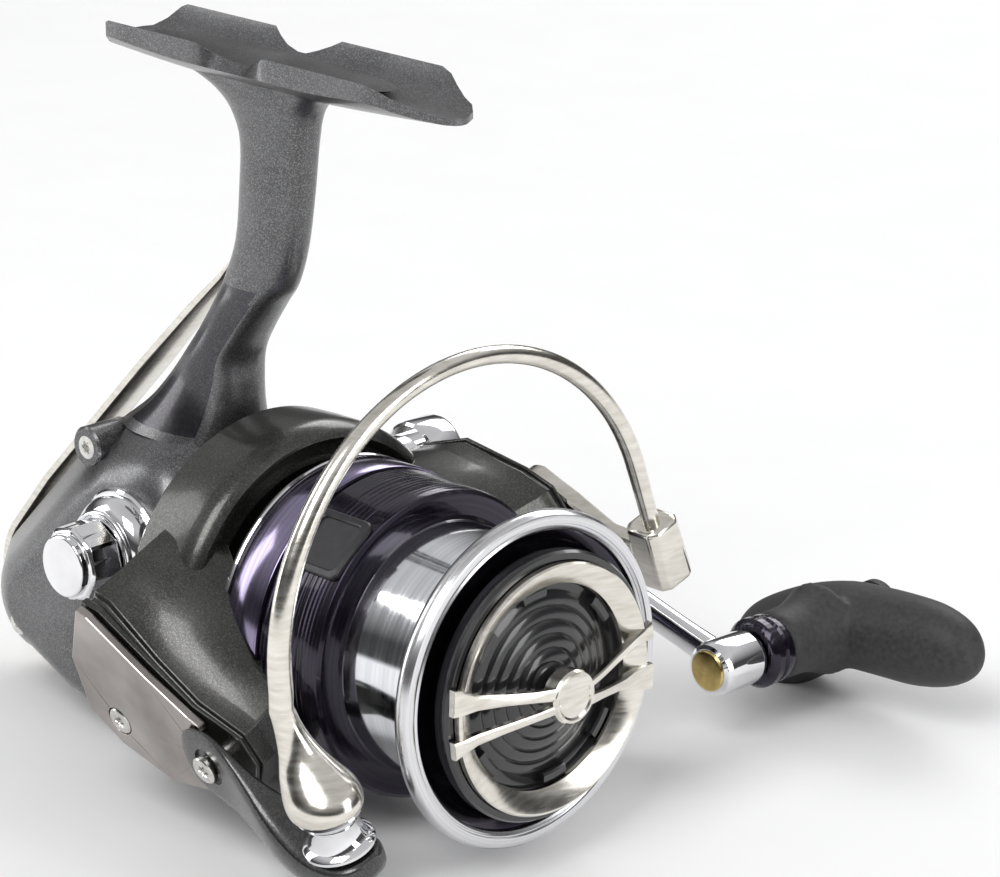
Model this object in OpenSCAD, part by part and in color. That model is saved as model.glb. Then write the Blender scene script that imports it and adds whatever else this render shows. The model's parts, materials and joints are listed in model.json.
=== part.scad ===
// Spinning reel with a front drag. Lengths are in millimetres.
// +X points forward along the spool axis, +Y to the handle's side, +Z up to the rod.
// The origin is on the rod's axis, above the middle of the foot.

/* [Layout] */
// Distance from the rod's axis down to the spool axis
axis_drop = 80; // [79:0.5:82]
// Rotor's rest angle about the spool axis, in degrees
rotor_angle = 19.5; // [15:0.5:25]
// Handle arm's rest angle below the forward direction, in degrees
arm_angle = 20; // [10:1:30]

/* [Foot and stem] */
// Length of the foot
foot_length = 68; // [64:1:70]
// Width of the foot's two wings
foot_width = 13.8; // [13.6:0.1:15]
// Radius of the saddle that seats on the rod
saddle_r = 8.3; // [8:0.1:8.4]
// Thickness of the foot
foot_t = 2; // [1.8:0.1:2.2]

/* [Body] */
// Width of the gear housing across its sides
body_w = 29; // [29:0.5:30]
// Wall thickness of the gear housing
wall = 1.8; // [1.6:0.1:1.9]

/* [Spool] */
// Outer radius of the front lip
lip_r = 22.5; // [22.4:0.1:22.8]
// Outer radius of the rear skirt
skirt_r = 21; // [20.8:0.1:21]
// Radius of the arbor that the line is wound on
arbor_r = 17; // [16.8:0.1:17.5]

/* [Bail] */
// Radius of the bail wire's arch
arch_r = 32.4; // [32:0.1:32.8]
// Radius of the bail wire
wire_r = 1.2; // [1:0.1:1.25]

/* [Handle] */
// Distance from the handle's axis to the knob's axis
arm_len = 56.5; // [54:0.5:58]
// Length of the knob's cross bar
knob_len = 47; // [42:1:48]

/* [Hidden] */
$fn = 96;
far = 200;            // longer than anything it cuts
fit = 0.05;           // running clearance of a shaft in its hole

half_w = body_w / 2;
mid_w = 4.5;          // the housing is straight this far to each side of the middle
flank_scale = 0.885;  // size of the housing's side faces against its middle
flank_x = -14;        // the flanks narrow towards this point
flank_z = -22;
handle_x = -17.5;     // handle axis, measured from the foot's middle
handle_z = 5.4;       // handle axis above the spool axis
osc_x = -31.2;        // axis of the oscillation gear
osc_z = -6.5;
shaft_r = 2;
drive_r = 3;          // outer radius of the drive gear's tube
face_y = -mid_w;      // where the side cover meets the frame
front_x = -8;         // front of the housing
flange_x = -3.3;      // front of the round flange
flange_r = 20.5;
pinion_r = 3;         // journal of the pinion
clutch_r = 9.3;
guide_z = -9;         // slider's guide pin below the spool axis
cover_t = 1.4;        // thickness of the arm cover
pivot_x = 18.5;       // bail pivots, along the spool axis
arm_in_r = 22.2;      // bore swept clear inside the rotor's arms
arm_u = 30.1;         // outer face of a rotor arm
pivot_r = 1.45;       // shank of a bail pivot screw
arch_x = 36.5;        // plane of the bail wire
arch_v = 9;           // height of the arch's centre
arch_u = 1.2;
roller_x = 41.5;
roller_u = -32.5;
lip_x = 46.5;         // front face of the spool lip
hub_y = 38;           // inner end of the handle arm's hub
plug_y = 44.2;        // inner end of the knob's barrel
barrel_y = 52.5;      // outer end of the knob's barrel
knob_y = 57;          // start of the rubber grip
bar_y = 72;           // middle of the knob's cross bar
end_y = 81;           // outer end of the knob
knob_tilt = 14;       // rest angle of the cross bar above the forward direction
knob_shift = 2.6;     // the bar reaches further forward than back
drag_x = 46.4;        // back of the drag knob's cap

// The side cover's screws: x, height above the spool axis, how far out the head's face
// lies on the left and how far the post runs to the right.
cover_screw_places = [[-28, 16.6, 12.4, 4], [-47, -15, 14.5, 12.8], [-14.5, -17.6, 14.5, 12.8]];
// The stem's levels from the foot down: [x, height above the spool axis, a, b].
stem_levels = [[0, axis_drop - saddle_r - 0.6, 9, 5], [-0.8, 62, 5.8, 3.9],
    [-2.7, 48, 5.2, 4.1], [-6.6, 40.5, 4.6, 4.9], [-12.4, 32, 4.4, 5.6], [-17, 20, 8.6, 7]];
// Side outline of a rotor arm in the rotor's frame: x and v.
arm_outline = [[-7.2, -0.4], [-7.2, 8.6], [-2.4, 18], [0.6, 17.4], [8.6, 11.2], [15, 6.6],
    [23, 4], [25, 0], [23, -4.4], [18.5, -6.2], [7.5, -8], [-2, -4.6]];

// Outline of the far arm's cover, seen like the near arm.
far_cover = [[-2, -3], [-2, 10], [2, 14.5], [11, 8.4], [11, -5]];

// Points along an arc in a plane, from angle a0 to angle a1.
function arc(x, z, r, a0, a1, n = 12) =
    [for (i = [0:n]) let (a = a0 + (a1 - a0) * i / n) [x + r * cos(a), z + r * sin(a)]];

// Side outline of the housing, moved inwards by t. The second value is above the spool axis.
function outline(t) = concat(
    [[front_x - t, -18 + t], [front_x - t, 17 - t], [-12 - t / 2, 21 - t], [-25, 21 - t],
     [-33, 17.4 - 1.4 * t]],
    [for (p = arc(-48.6, -11.2, 9.2 - t, 135, 265)) [to_micron(p[0]), to_micron(p[1])]],
    [[-38, -22.3 + t], [-13, -22.3 + t]]);

// Whole thousandths of a millimetre, so that pieces which share a face share its corners.
function to_micron(value) = round(value * 1000) / 1000;

module on_axis() { translate([0, 0, -axis_drop]) children(); }

// Local y is the rotor's u direction and local z its v direction.
module rotor_frame() { on_axis() rotate([rotor_angle, 0, 0]) children(); }

module handle_frame() {
    translate([handle_x, 0, handle_z - axis_drop]) children();
}

// Local x runs along the handle arm.
module arm_frame() { handle_frame() rotate([0, arm_angle, 0]) children(); }

module rod_x(r, x0, x1) {
    translate([x0, 0, 0]) rotate([0, 90, 0]) cylinder(r = r, h = x1 - x0);
}

module tube_x(r, bore, x0, x1) {
    difference() { rod_x(r, x0, x1); rod_x(bore, x0 - 1, x1 + 1); }
}

module rod_y(r, y0, y1) {
    translate([0, y0, 0]) rotate([-90, 0, 0]) cylinder(r = r, h = y1 - y0);
}

module tube_y(r, bore, y0, y1) {
    difference() { rod_y(r, y0, y1); rod_y(bore, y0 - 1, y1 + 1); }
}

// A profile of [radius, x] pairs turned about the x axis.
module turned(profile) { rotate([0, 90, 0]) rotate_extrude() polygon(profile); }

// A side outline of [x, z] pairs, extruded from y0 to y1.
module slab(points, y0, y1) {
    translate([0, y1, 0]) rotate([90, 0, 0]) linear_extrude(y1 - y0) polygon(points);
}

// Spur teeth round a disc about the y axis.
module spur_y(r_root, r_tip, teeth, y0, y1) {
    rod_y(r_root, y0, y1);
    for (i = [0:teeth - 1]) rotate([0, i * 360 / teeth, 0])
        translate([r_root - 0.5, y0, -0.55]) cube([r_tip - r_root + 0.5, y1 - y0, 1.1]);
}

// ---- Body ----

// The tapering side of the housing, moved inwards by t; side is -1 on the left.
module flank(t, side) {
    depth = half_w - mid_w - t;
    k = 1 - (1 - flank_scale) * depth / (half_w - mid_w);
    on_axis() translate([flank_x, side * mid_w, flank_z]) rotate([-90 * side, 0, 0])
        linear_extrude(depth, scale = k)
            polygon([for (p = outline(t)) [p[0] - flank_x, -side * (p[1] - flank_z)]]);
}

// Room for the drive gear between the housing and the flange.
module gear_pocket() {
    on_axis() intersection() {
        rod_x(16.2, front_x - wall - 1, flange_x - wall);
        translate([-far / 2, -8.6, -far / 2]) cube([far, 20.8, far]);
    }
}

// One level of the stem: an upright oval disc of half length a and half width b.
module stem_level(x, z, a, b) {
    translate([x, 0, z]) scale([a, b, 1]) cylinder(r = 1, h = 0.6, $fn = 32);
}

// The foot seen from above: two wings with a waist between them and rounded tips.
module foot_plan() {
    half = foot_length / 2;
    wing = foot_width / 2;
    waist = wing - 2;
    rear_r = 3.6;
    front_r = 4.4;
    polygon(concat(
        arc(-half + rear_r, 0, rear_r, 90, 270),
        [[-28, -wing], [-9, -wing], [-4, -waist], [-1, -waist], [4, -wing], [24, -wing]],
        arc(half - front_r, 0, front_r, -90, 90),
        [[24, wing], [4, wing], [-1, waist], [-4, waist], [-9, wing], [-28, wing]]));
}

module foot() {
    color("dimgray") intersection() {
        tube_x(saddle_r + foot_t, saddle_r, -foot_length, foot_length);
        translate([0, 0, -far]) linear_extrude(far) foot_plan();
    }
}

module stem() {
    for (i = [0:len(stem_levels) - 2])
        let (p = stem_levels[i], q = stem_levels[i + 1]) hull() {
            stem_level(p[0], p[1] - axis_drop, p[2], p[3]);
            stem_level(q[0], q[1] - axis_drop, q[2], q[3]);
        }
}

module body_frame() {
    color("dimgray") difference() {
        union() {
            difference() {
                union() {
                    stem();
                    on_axis() slab(outline(0), -mid_w, mid_w);
                    flank(0, 1);
                    on_axis() rod_x(flange_r, front_x, flange_x);
                    on_axis() rod_x(11.3, flange_x - 0.1, 3);
                }
                on_axis() slab(outline(wall), -mid_w - 1, mid_w);
                flank(wall, 1);
                gear_pocket();
                // where the side cover's top runs under the stem
                on_axis() translate([-26, 0, 0]) rotate([90, 0, 90]) linear_extrude(26 + front_x)
                    polygon([[-mid_w, 21], [-half_w, 21 - 43 * (1 - flank_scale)],
                        [-half_w, 10], [-mid_w, 10]]);
            }
            handle_frame() rod_y(7, 9.4, half_w - wall + 0.1);
            on_axis() translate([osc_x, 0, osc_z]) rod_y(3.6, 9.2, half_w - wall + 0.1);
            on_axis() translate([-47.4, -2, guide_z - 2]) cube([2.4, 15, 4]);
            for (p = cover_screw_places) on_axis() translate([p[0], 0, p[1]])
                rod_y(2.2, face_y, p[3]);
        }
        rod_x(saddle_r + foot_t, -far, far);
        on_axis() rod_x(6.5, flange_x - wall - 1, 0);
        on_axis() rod_x(clutch_r, -1.8, 4);
        handle_frame() rod_y(5.5, 9, half_w - wall + 0.1);
        handle_frame() rod_y(3.4, 9, half_w + 1);
        on_axis() translate([osc_x, 0, osc_z]) rod_y(2 + fit, 9, half_w - wall);
        on_axis() translate([0, 0, guide_z]) rod_x(1, -45.2, -44);
        on_axis() translate([-49.4, 0, -23]) cylinder(r = 1.02, h = 5);
        for (p = cover_screw_places) on_axis() translate([p[0], 0, p[1]])
            rod_y(1, face_y - 1, face_y + 5);
    }
}

module side_cover() {
    boss = cover_screw_places[0];
    color("dimgray") difference() {
        union() {
            difference() {
                flank(0, -1);
                flank(wall, -1);
                gear_pocket();
            }
            handle_frame() rod_y(7, -half_w + wall - 0.1, -9.4);
            for (p = cover_screw_places) on_axis() translate([p[0], 0, p[1]])
                rod_y(2.2, min(-p[2], -half_w + wall) + 0.4, face_y);
            on_axis() translate([boss[0], 0, boss[1]]) rod_y(2.9, -boss[2], face_y);
        }
        handle_frame() rod_y(5.5, -half_w + wall + 0.1, 0);
        handle_frame() rod_y(4, -half_w - 1, 0);
        for (p = cover_screw_places) on_axis() translate([p[0], 0, p[1]]) {
            rod_y(1.1, -half_w - 1, 0);
            rod_y(1.9, -half_w - 1, -p[2] + 1);
        }
    }
}

module side_cover_screws() {
    color("silver") for (p = cover_screw_places) on_axis() translate([p[0], 0, p[1]]) {
        rod_y(1.8, -p[2] + 0.1, -p[2] + 1);
        rod_y(1, -p[2] + 0.9, face_y + 4);
    }
}

// Outer edge of the guard: down the stem's back, round the tail and under it.
function guard_edge(t) = concat(
    [[-13 + 0.7 * t, 40.6 - 0.7 * t]],
    arc(-48.6, -11.2, 11.5 - t, 135, 262));

module rear_guard() {
    inner = guard_edge(1.4);
    n = len(inner);
    color("lightgray") on_axis() difference() {
        slab(concat(guard_edge(0), [for (i = [0:n - 1]) inner[n - 1 - i]]), -3.2, 3.2);
        hull() {
            translate([-6.6, 0, 40.2]) cylinder(r = 5.4, h = 1.2, $fn = 32);
            translate([-12.4, 0, 31.7]) cylinder(r = 5.9, h = 1.2, $fn = 32);
        }
        translate([-49.4, 0, -20]) rotate([180, 0, 0]) cylinder(r = 1.1, h = 6);
    }
}

module rear_guard_screw() {
    color("silver") on_axis() translate([-49.4, 0, 0]) {
        translate([0, 0, -23.4]) cylinder(r = 1.9, h = 0.6);
        translate([0, 0, -22.9]) cylinder(r = 1, h = 2.7);
    }
}

module side_cap() {
    facets = 12;
    color("silver") handle_frame() {
        rod_y(4.3, -25.5, -24.4);
        difference() {
            rod_y(5.2, -24.5, -19.2);
            for (i = [0:facets - 1]) rotate([0, i * 360 / facets, 0])
                translate([5.3, -25, 0]) rod_y(0.7, 0, 4.8);
        }
        rod_y(3.9, -19.3, -13);
    }
}

module cap_collar() {
    color("silver") handle_frame() rotate([-90, 0, 0]) rotate_extrude() polygon(concat(
        [[4.1, -half_w], [8.2, -half_w], [8.2, -half_w - 0.9], [7.6, -half_w - 0.9]],
        arc(4.4, -half_w - 1.2, 3.2, -5, -85), [[4.1, -half_w - 4.4]]));
}

module left_drive_bearing() {
    color("silver") handle_frame() tube_y(5.5, drive_r + fit, -12.5, -9.6);
}

module right_drive_bearing() {
    color("silver") handle_frame() tube_y(5.5, drive_r + fit, 9.6, 12.6);
}

module pinion_bearing() {
    color("silver") on_axis() tube_x(6.5, pinion_r + fit, flange_x - wall, -2);
}

module anti_reverse_clutch() {
    color("gainsboro") on_axis() tube_x(clutch_r, 5.55, -1.8, 2.6);
}

// A pin beside the main shaft that keeps the slider upright.
module slider_guide_pin() {
    color("silver") on_axis() translate([0, 0, guide_z])
        rod_x(1, -45, flange_x - wall);
}

// ---- Handle ----

module drive_gear() {
    teeth = 42;
    inner = 7.6;
    outer = 11;
    color("goldenrod") handle_frame() difference() {
        union() {
            rod_y(drive_r, -12.4, 12.4);
            rod_y(outer, -7.4, -5);
            spur_y(5.3, 6.5, 12, 6, 8.4);
            for (i = [0:teeth - 1]) rotate([0, i * 360 / teeth, 0])
                translate([inner, -5.1, -0.28]) cube([outer - inner, 1.1, 0.56]);
        }
        rod_y(1.9, -20, 20);
    }
}

module handle_shank() {
    color("silver") handle_frame() {
        rod_y(1.86, -9, half_w + 0.6);
        rotate([-90, 0, 0]) rotate_extrude() polygon([[0, half_w + 0.5], [6.5, half_w + 0.5],
            [6.5, half_w + 2], [4.2, half_w + 6], [4, hub_y], [0, hub_y]]);
    }
}

module handle_arm() {
    color("silver") arm_frame() difference() {
        union() {
            rod_y(5.4, hub_y, hub_y + 6);
            hull() {
                rod_y(3.4, hub_y + 2.4, hub_y + 5.6, $fn = 32);
                translate([arm_len, 0, 0]) rod_y(1.8, 46, 49.4, $fn = 32);
            }
            translate([arm_len, 0, 0]) rod_y(3.9, plug_y, barrel_y);
        }
        rod_y(1.6, hub_y - 1, hub_y + 9);
        rod_y(3.3, hub_y + 6, hub_y + 12);
        translate([arm_len, 0, 0]) rod_y(1.95, plug_y - 1, barrel_y + 1);
    }
}

module arm_screw() {
    color("silver") arm_frame() {
        rod_y(1.55, hub_y + 0.1, hub_y + 6);
        rod_y(3.2, hub_y + 6, hub_y + 7.2);
    }
}

module knob_axle() {
    color("silver") arm_frame() translate([arm_len, 0, 0]) difference() {
        rod_y(1.95, plug_y, 75);
        rod_y(0.9, 68, 76);
    }
}

module axle_end_disc() {
    color("goldenrod") arm_frame() translate([arm_len, 0, 0]) rod_y(2.9, plug_y - 0.4, plug_y);
}

module knob_screw() {
    color("silver") arm_frame() translate([arm_len, 0, 0]) {
        rod_y(0.85, 69, 75.1);
        rod_y(2.5, 75, 76.4);
    }
}

module knob_collar() {
    color("indigo") arm_frame() translate([arm_len, 0, 0]) rotate([-90, 0, 0]) rotate_extrude()
        polygon([[2.05, barrel_y + 0.3], [4.6, barrel_y + 0.3], [5, barrel_y + 1],
            [5, barrel_y + 2.2], [4.5, barrel_y + 2.6], [4.9, barrel_y + 3.1], [4.9, knob_y],
            [2.05, knob_y]]);
}

module knob_grip() {
    end = knob_len / 2 - 6;
    color("#2e2e30") arm_frame() translate([arm_len, 0, 0]) difference() {
        union() {
            rod_y(5, knob_y, bar_y);
            rotate([0, -arm_angle - knob_tilt, 0]) hull() {
                translate([knob_shift - end, bar_y, -1.5]) sphere(r = 5.5, $fn = 32);
                translate([0, bar_y, 0]) sphere(r = 8, $fn = 32);
                translate([knob_shift + end, bar_y, -2.5]) sphere(r = 6, $fn = 32);
            }
        }
        rod_y(3.5, knob_y - 1, 72);
        rod_y(3, 71, far);
        rod_y(4, end_y - 2.4, far);
    }
}

module knob_bearings() {
    color("silver") arm_frame() translate([arm_len, 0, 0]) for (y = [57.2, 69.2])
        tube_y(3.5, 1.95 + fit, y, y + 2.6);
}

module knob_cap() {
    color("#2e2e30") arm_frame() translate([arm_len, 0, 0]) rod_y(4, end_y - 2.4, end_y - 1.2);
}

// ---- Oscillation ----

module oscillation_gear() {
    color("white") on_axis() translate([osc_x, 0, osc_z]) {
        rotate([0, 6, 0]) spur_y(11.3, 12.5, 24, 6, 8.4);
        rod_y(2, 8.3, half_w - wall - 0.1);
        translate([-7.5, 0, 0]) rod_y(1.2, 5.3, 6.1);
    }
}

module main_shaft() {
    color("silver") on_axis() difference() {
        union() {
            rod_x(shaft_r, -37.9, 48.6);
            translate([13.6, 0, 0]) rod_y(0.7, -4.6, 4.6);
        }
        translate([-35.7, 0, -3]) cylinder(r = 0.8, h = 6);
    }
}

module slider() {
    color("gray") on_axis() translate([-35.7, 0, 0]) difference() {
        translate([-2.4, -3.3, -13.6]) cube([4.8, 8, 16.6]);
        rod_x(shaft_r, -3, 3);
        translate([-1.3, 1.6, -13]) cube([2.6, 4, 10.4]);
        translate([0, 0, guide_z]) rod_x(1 + fit, -3, 3);
        translate([0, 0, -3]) cylinder(r = 0.8, h = 7);
    }
}

module slider_screw() {
    color("silver") on_axis() translate([-35.7, 0, 0]) {
        translate([0, 0, -2.4]) cylinder(r = 0.78, h = 5.4);
        translate([0, 0, 3]) cylinder(r = 1.3, h = 0.5);
    }
}

// ---- Rotor ----

// The near arm. The far one is the same, turned half a turn about the spool axis.
module rotor_arm() {
    difference() {
        intersection() {
            slab(arm_outline, -arm_u, -12);
            rod_x(far / 4, -7.4, 30);
        }
        rod_x(arm_in_r, 5.9, 30);
        rod_x(22, -10, 6);
        translate([pivot_x, 0, 0]) rod_y(pivot_r, -far, -10);
        // pocket for the bail spring
        translate([-4, -arm_u - 1, 4.6]) cube([11, 5, 4.4]);
        translate([-1.2, 0, -0.4]) rod_y(0.9, -arm_u - 1, -arm_u + 5);
    }
}

module rotor() {
    color("#4a4a4c") rotor_frame() {
        turned([[21.9, -6], [24.1, -6], [24.5, -5], [24.5, 4.6], [23.6, 6], [22, 6], [22, 5.6],
            [6, 5.6], [3.02, 5.6], [3.02, 3.6], [21.9, 3.6]]);
        rotor_arm();
        rotate([180, 0, 0]) difference() {
            rotor_arm();
            slab(far_cover, -far, -arm_u + 0.8);
        }
    }
}

module pinion() {
    teeth = 8;
    color("gold") on_axis() difference() {
        union() {
            rod_x(pinion_r, -13.8, 9.5);
            for (i = [0:teeth - 1]) rotate([i * 360 / teeth, 0, 0])
                translate([-13.8, 2.4, -0.55]) cube([8, 1.4, 1.1]);
        }
        rod_x(shaft_r + fit, -20, 20);
    }
}

module clutch_sleeve() {
    color("silver") on_axis() tube_x(5.5, pinion_r + 0.02, -1.8, 3.5);
}

module rotor_nut() {
    color("silver") on_axis() difference() {
        translate([5.7, 0, 0]) rotate([0, 90, 0]) cylinder(r = 6, h = 3, $fn = 6);
        rod_x(pinion_r + 0.02, 5, 12);
    }
}

module nut_retainer() {
    color("#3a3a3c") on_axis() difference() {
        rod_x(6.4, 8.75, 9.4);
        rod_x(pinion_r + 0.02, 5, 12);
    }
}

module arm_cover() {
    color("gainsboro") rotor_frame() difference() {
        slab([[-7.2, -0.2], [-7.2, 8.4], [-2.2, 17.6], [-0.4, 16.9], [8.3, 10.2], [14.9, 5.9],
            [17, 4.9], [16, 0], [14.4, -6.4], [6.7, -7.6], [-2.3, -4.4]],
            -arm_u - cover_t, -arm_u);
        translate([pivot_x, 0, 0]) rod_y(4.1, -far, far);
        translate([-1.2, 0, -0.4]) rod_y(1, -far, 0);
        translate([-1.2, 0, -0.4]) rod_y(2.1, -far, -arm_u - 0.7);
    }
}

module arm_cover_screw() {
    color("silver") rotor_frame() translate([-1.2, 0, -0.4]) {
        rod_y(2, -arm_u - 1.5, -arm_u - 0.7);
        rod_y(0.88, -arm_u - 0.8, -arm_u + 4);
    }
}

module far_arm_cover() {
    color("#4a4a4c") rotor_frame() rotate([180, 0, 0])
        slab(far_cover, -arm_u - 0.1, -arm_u + 0.8);
}

module bail_pivot_screws() {
    color("silver") rotor_frame() for (s = [0, 180]) rotate([s, 0, 0])
        translate([pivot_x, 0, 0]) {
            rod_y(pivot_r, -arm_u - 3.2, -arm_u + 5);
            rod_y(1.95, -arm_u - 4, -arm_u - 3.1);
        }
}

// A helical wire along x, swept as one polyhedron.
module coil(r, wire, length, turns) {
    sides = 8;
    steps = turns * 16;
    rings = [for (i = [0:steps]) let (a = i * 22.5, x = length * i / steps)
        [for (j = [0:sides - 1]) let (b = j * 360 / sides, q = r + wire * cos(b))
            [x + wire * sin(b), q * cos(a), q * sin(a)]]];
    polyhedron(points = [for (g = rings) each g], faces = concat(
        [[for (j = [0:sides - 1]) j]],
        [for (i = [0:steps - 1]) for (j = [0:sides - 1]) let (k = (j + 1) % sides)
            [i * sides + j, (i + 1) * sides + j, (i + 1) * sides + k, i * sides + k]],
        [[for (j = [sides - 1:-1:0]) steps * sides + j]]));
}

module bail_spring() {
    color("silver") rotor_frame() translate([-3.1, -arm_u + 1.9, 6.8]) coil(1.5, 0.3, 9, 5);
}

// ---- Bail ----

module bail_lever() {
    plate_u = -arm_u - cover_t - 0.3;
    color("#38383a") rotor_frame() difference() {
        union() {
            translate([pivot_x, 0, 0]) rod_y(3.9, -arm_u - 3, -arm_u - 0.3);
            slab(concat(arc(pivot_x, 0, 5.5, 90, 262, 16), [[24, -7.6], [33, -9.6], [41, -9.4],
                [45.2, -7.4], [45.2, -5], [36, -4.6], [29, -1], [22.5, 3.8]]),
                -arm_u - 3.6, plate_u);
            translate([roller_x, roller_u, -9.4]) cylinder(r = 4.9, h = 4.6);
        }
        translate([pivot_x, 0, 0]) rod_y(pivot_r + fit, -far, far);
        translate([pivot_x, 0, 0]) rod_y(3.6, -far, -arm_u - 3);
        translate([roller_x, roller_u, -far / 2]) cylinder(r = 1.3, h = far);
    }
}

module bail_wire() {
    color("gainsboro") rotor_frame() translate([arch_x, arch_u, arch_v]) {
        rotate([90, 0, 90]) rotate_extrude(angle = 180)
            translate([arch_r, 0]) circle(r = wire_r, $fn = 48);
        translate([0, -arch_r, -2.4]) cylinder(r = wire_r, h = 2.4);
        translate([0, arch_r, -arch_v - 3]) cylinder(r = wire_r, h = arch_v + 3);
    }
}

module bail_cone() {
    color("gainsboro") rotor_frame() difference() {
        hull() {
            translate([roller_x, roller_u, 1.6]) cylinder(r = 4.7, h = 1.6, $fn = 32);
            translate([arch_x + 0.8, arch_u - arch_r - 0.6, 6.6]) cylinder(r = 2.2, h = 1,
                $fn = 32);
        }
        translate([roller_x, roller_u, -far / 2]) cylinder(r = 1.3, h = far / 2 + 3.2);
        translate([arch_x, arch_u - arch_r, 6.6]) cylinder(r = wire_r, h = 20);
    }
}

module bail_holder() {
    color("gainsboro") rotor_frame() difference() {
        union() {
            slab(concat(arc(pivot_x, 0, 4.3, 90, 255, 16), [[30, -8], [37, -9], [37, -1.4],
                [33.6, -1.4], [30, -2], [21, 3.8]]), arm_u + 0.9, arm_u + 2.7);
            translate([pivot_x, 0, 0]) rod_y(4.6, arm_u + 0.3, arm_u + 3);
            translate([arch_x, arch_u + arch_r, -9.4]) cylinder(r = 3, h = 9.6);
        }
        translate([pivot_x, 0, 0]) rod_y(pivot_r + fit, -far, far);
        translate([arch_x, arch_u + arch_r, -3]) cylinder(r = wire_r, h = 20);
    }
}

module roller_screw() {
    color("silver") rotor_frame() translate([roller_x, roller_u, 0]) {
        translate([0, 0, -10.3]) cylinder(r = 2.2, h = 0.6);
        translate([0, 0, -9.8]) cylinder(r = 1.28, h = 12.9);
    }
}

module line_roller() {
    color("silver") rotor_frame() translate([roller_x, roller_u, 0]) rotate_extrude()
        polygon([[2.5, -4.4], [4.6, -4.4], [4.6, -3.6], [3.7, -2.8], [3.5, -1.4], [3.7, 0],
            [4.1, 1.2], [2.5, 1.2]]);
}

module roller_bearing() {
    color("silver") rotor_frame() translate([roller_x, roller_u, -3]) difference() {
        cylinder(r = 2.48, h = 2.4);
        translate([0, 0, -1]) cylinder(r = 1.28 + fit, h = 5);
    }
}

// ---- Spool ----

module click_gear() {
    color("#3a3a3c") on_axis() difference() {
        union() {
            rod_x(3.6, 12.6, 16.4);
            rod_x(6, 14.4, 16.4);
            for (i = [0:23]) rotate([i * 15, 0, 0]) translate([14.4, 5.8, -0.4])
                cube([2, 1, 0.8]);
        }
        rod_x(shaft_r, 10, 20);
        translate([13.6, 0, 0]) rod_y(0.7, -5, 5);
    }
}

module spool_body() {
    color("#241c30") on_axis() turned([[2.1, 17], [4.4, 17], [4.4, 27], [19.4, 27], [19.4, 9.8],
        [skirt_r, 9.8], [skirt_r, 28.4], [arbor_r, 28.8], [arbor_r, 42.6], [19.4, 43.6],
        [19.9, 44.6], [19.9, 45.4], [15.4, 43.4], [14.6, 43], [14.6, 30], [2.1, 30]]);
}

module spool_lip() {
    color("silver") on_axis() turned([[19.92, 44], [21.6, 43.9], [lip_r, 44.6], [lip_r, 45.8],
        [21.7, lip_x], [20.4, lip_x], [19.92, 46]]);
}

module spool_band() {
    color("thistle") on_axis() tube_x(skirt_r + 0.25, skirt_r, 10.8, 16.6);
}

module spool_rear_ring() {
    color("silver") on_axis() tube_x(skirt_r + 0.3, 19.2, 9, 9.8);
}

module line_clip() {
    color("#1c1c1e") on_axis() rotate([40, 0, 0]) intersection() {
        tube_x(skirt_r + 0.7, skirt_r, 18, 27.6);
        translate([0, -4.6, 0]) cube([40, 9.2, 40]);
    }
}

module drag_felts() {
    color("tan") on_axis() for (x = [30.1, 32.7, 35.3]) tube_x(13.9, shaft_r + 0.3, x, x + 1.2);
}

module drag_plates() {
    color("silver") on_axis() for (x = [31.4, 34]) tube_x(14.1, shaft_r + 0.3, x, x + 1.2);
}

module washer_retainer() {
    color("silver") on_axis() translate([37.2, 0, 0]) rotate([0, 90, 0]) rotate_extrude()
        translate([14.05, 0]) circle(r = 0.5, $fn = 24);
}

module drag_knob() {
    color("#202022") on_axis() difference() {
        turned(concat([[2.3, 38.2], [13.3, 38.2], [13.3, 42.6], [14.2, drag_x], [17.6, drag_x],
            [18, drag_x + 0.6], [18, 49], [16.6, 49.6], [13.6, 48.4]],
            [for (i = [0:3]) each [[13 - 2.4 * i, 48.2 + 0.4 * i],
                [11.8 - 2.4 * i, 48.7 + 0.4 * i]]],
            [[0, 50.4], [0, 48.9], [2.3, 48.9]]));
        rod_x(5.2, 41.2, 45.4);
        rod_x(4.9, 38, 41.5);
    }
}

module drag_trim() {
    color("gainsboro") on_axis() {
        turned([[13.8, 48.7], [16.7, 49.8], [16.7, 50.6], [13.8, 49.3]]);
        rod_x(3.6, 52.6, 54);
        for (side = [0, 180], lean = [-10.5, 10.5]) rotate([side + lean, 0, 0]) trim_spoke();
    }
}

// One spoke of the trim, rising from the knob's rim to the hub.
module trim_spoke() {
    translate([0, 0, -0.8]) linear_extrude(1.6)
        polygon([[49.3, 17.8], [50.8, 17.8], [53.9, 3], [52.7, 3], [50, 13.6]]);
}

module drag_nut() {
    color("silver") on_axis() difference() {
        translate([41.3, 0, 0]) rotate([0, 90, 0]) cylinder(r = 5.1, h = 4, $fn = 6);
        rod_x(shaft_r + fit, 40, 50);
    }
}

module drag_spring() {
    color("silver") on_axis() translate([38.7, 0, 0]) coil(3.6, 0.35, 2.3, 3);
}

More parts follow.
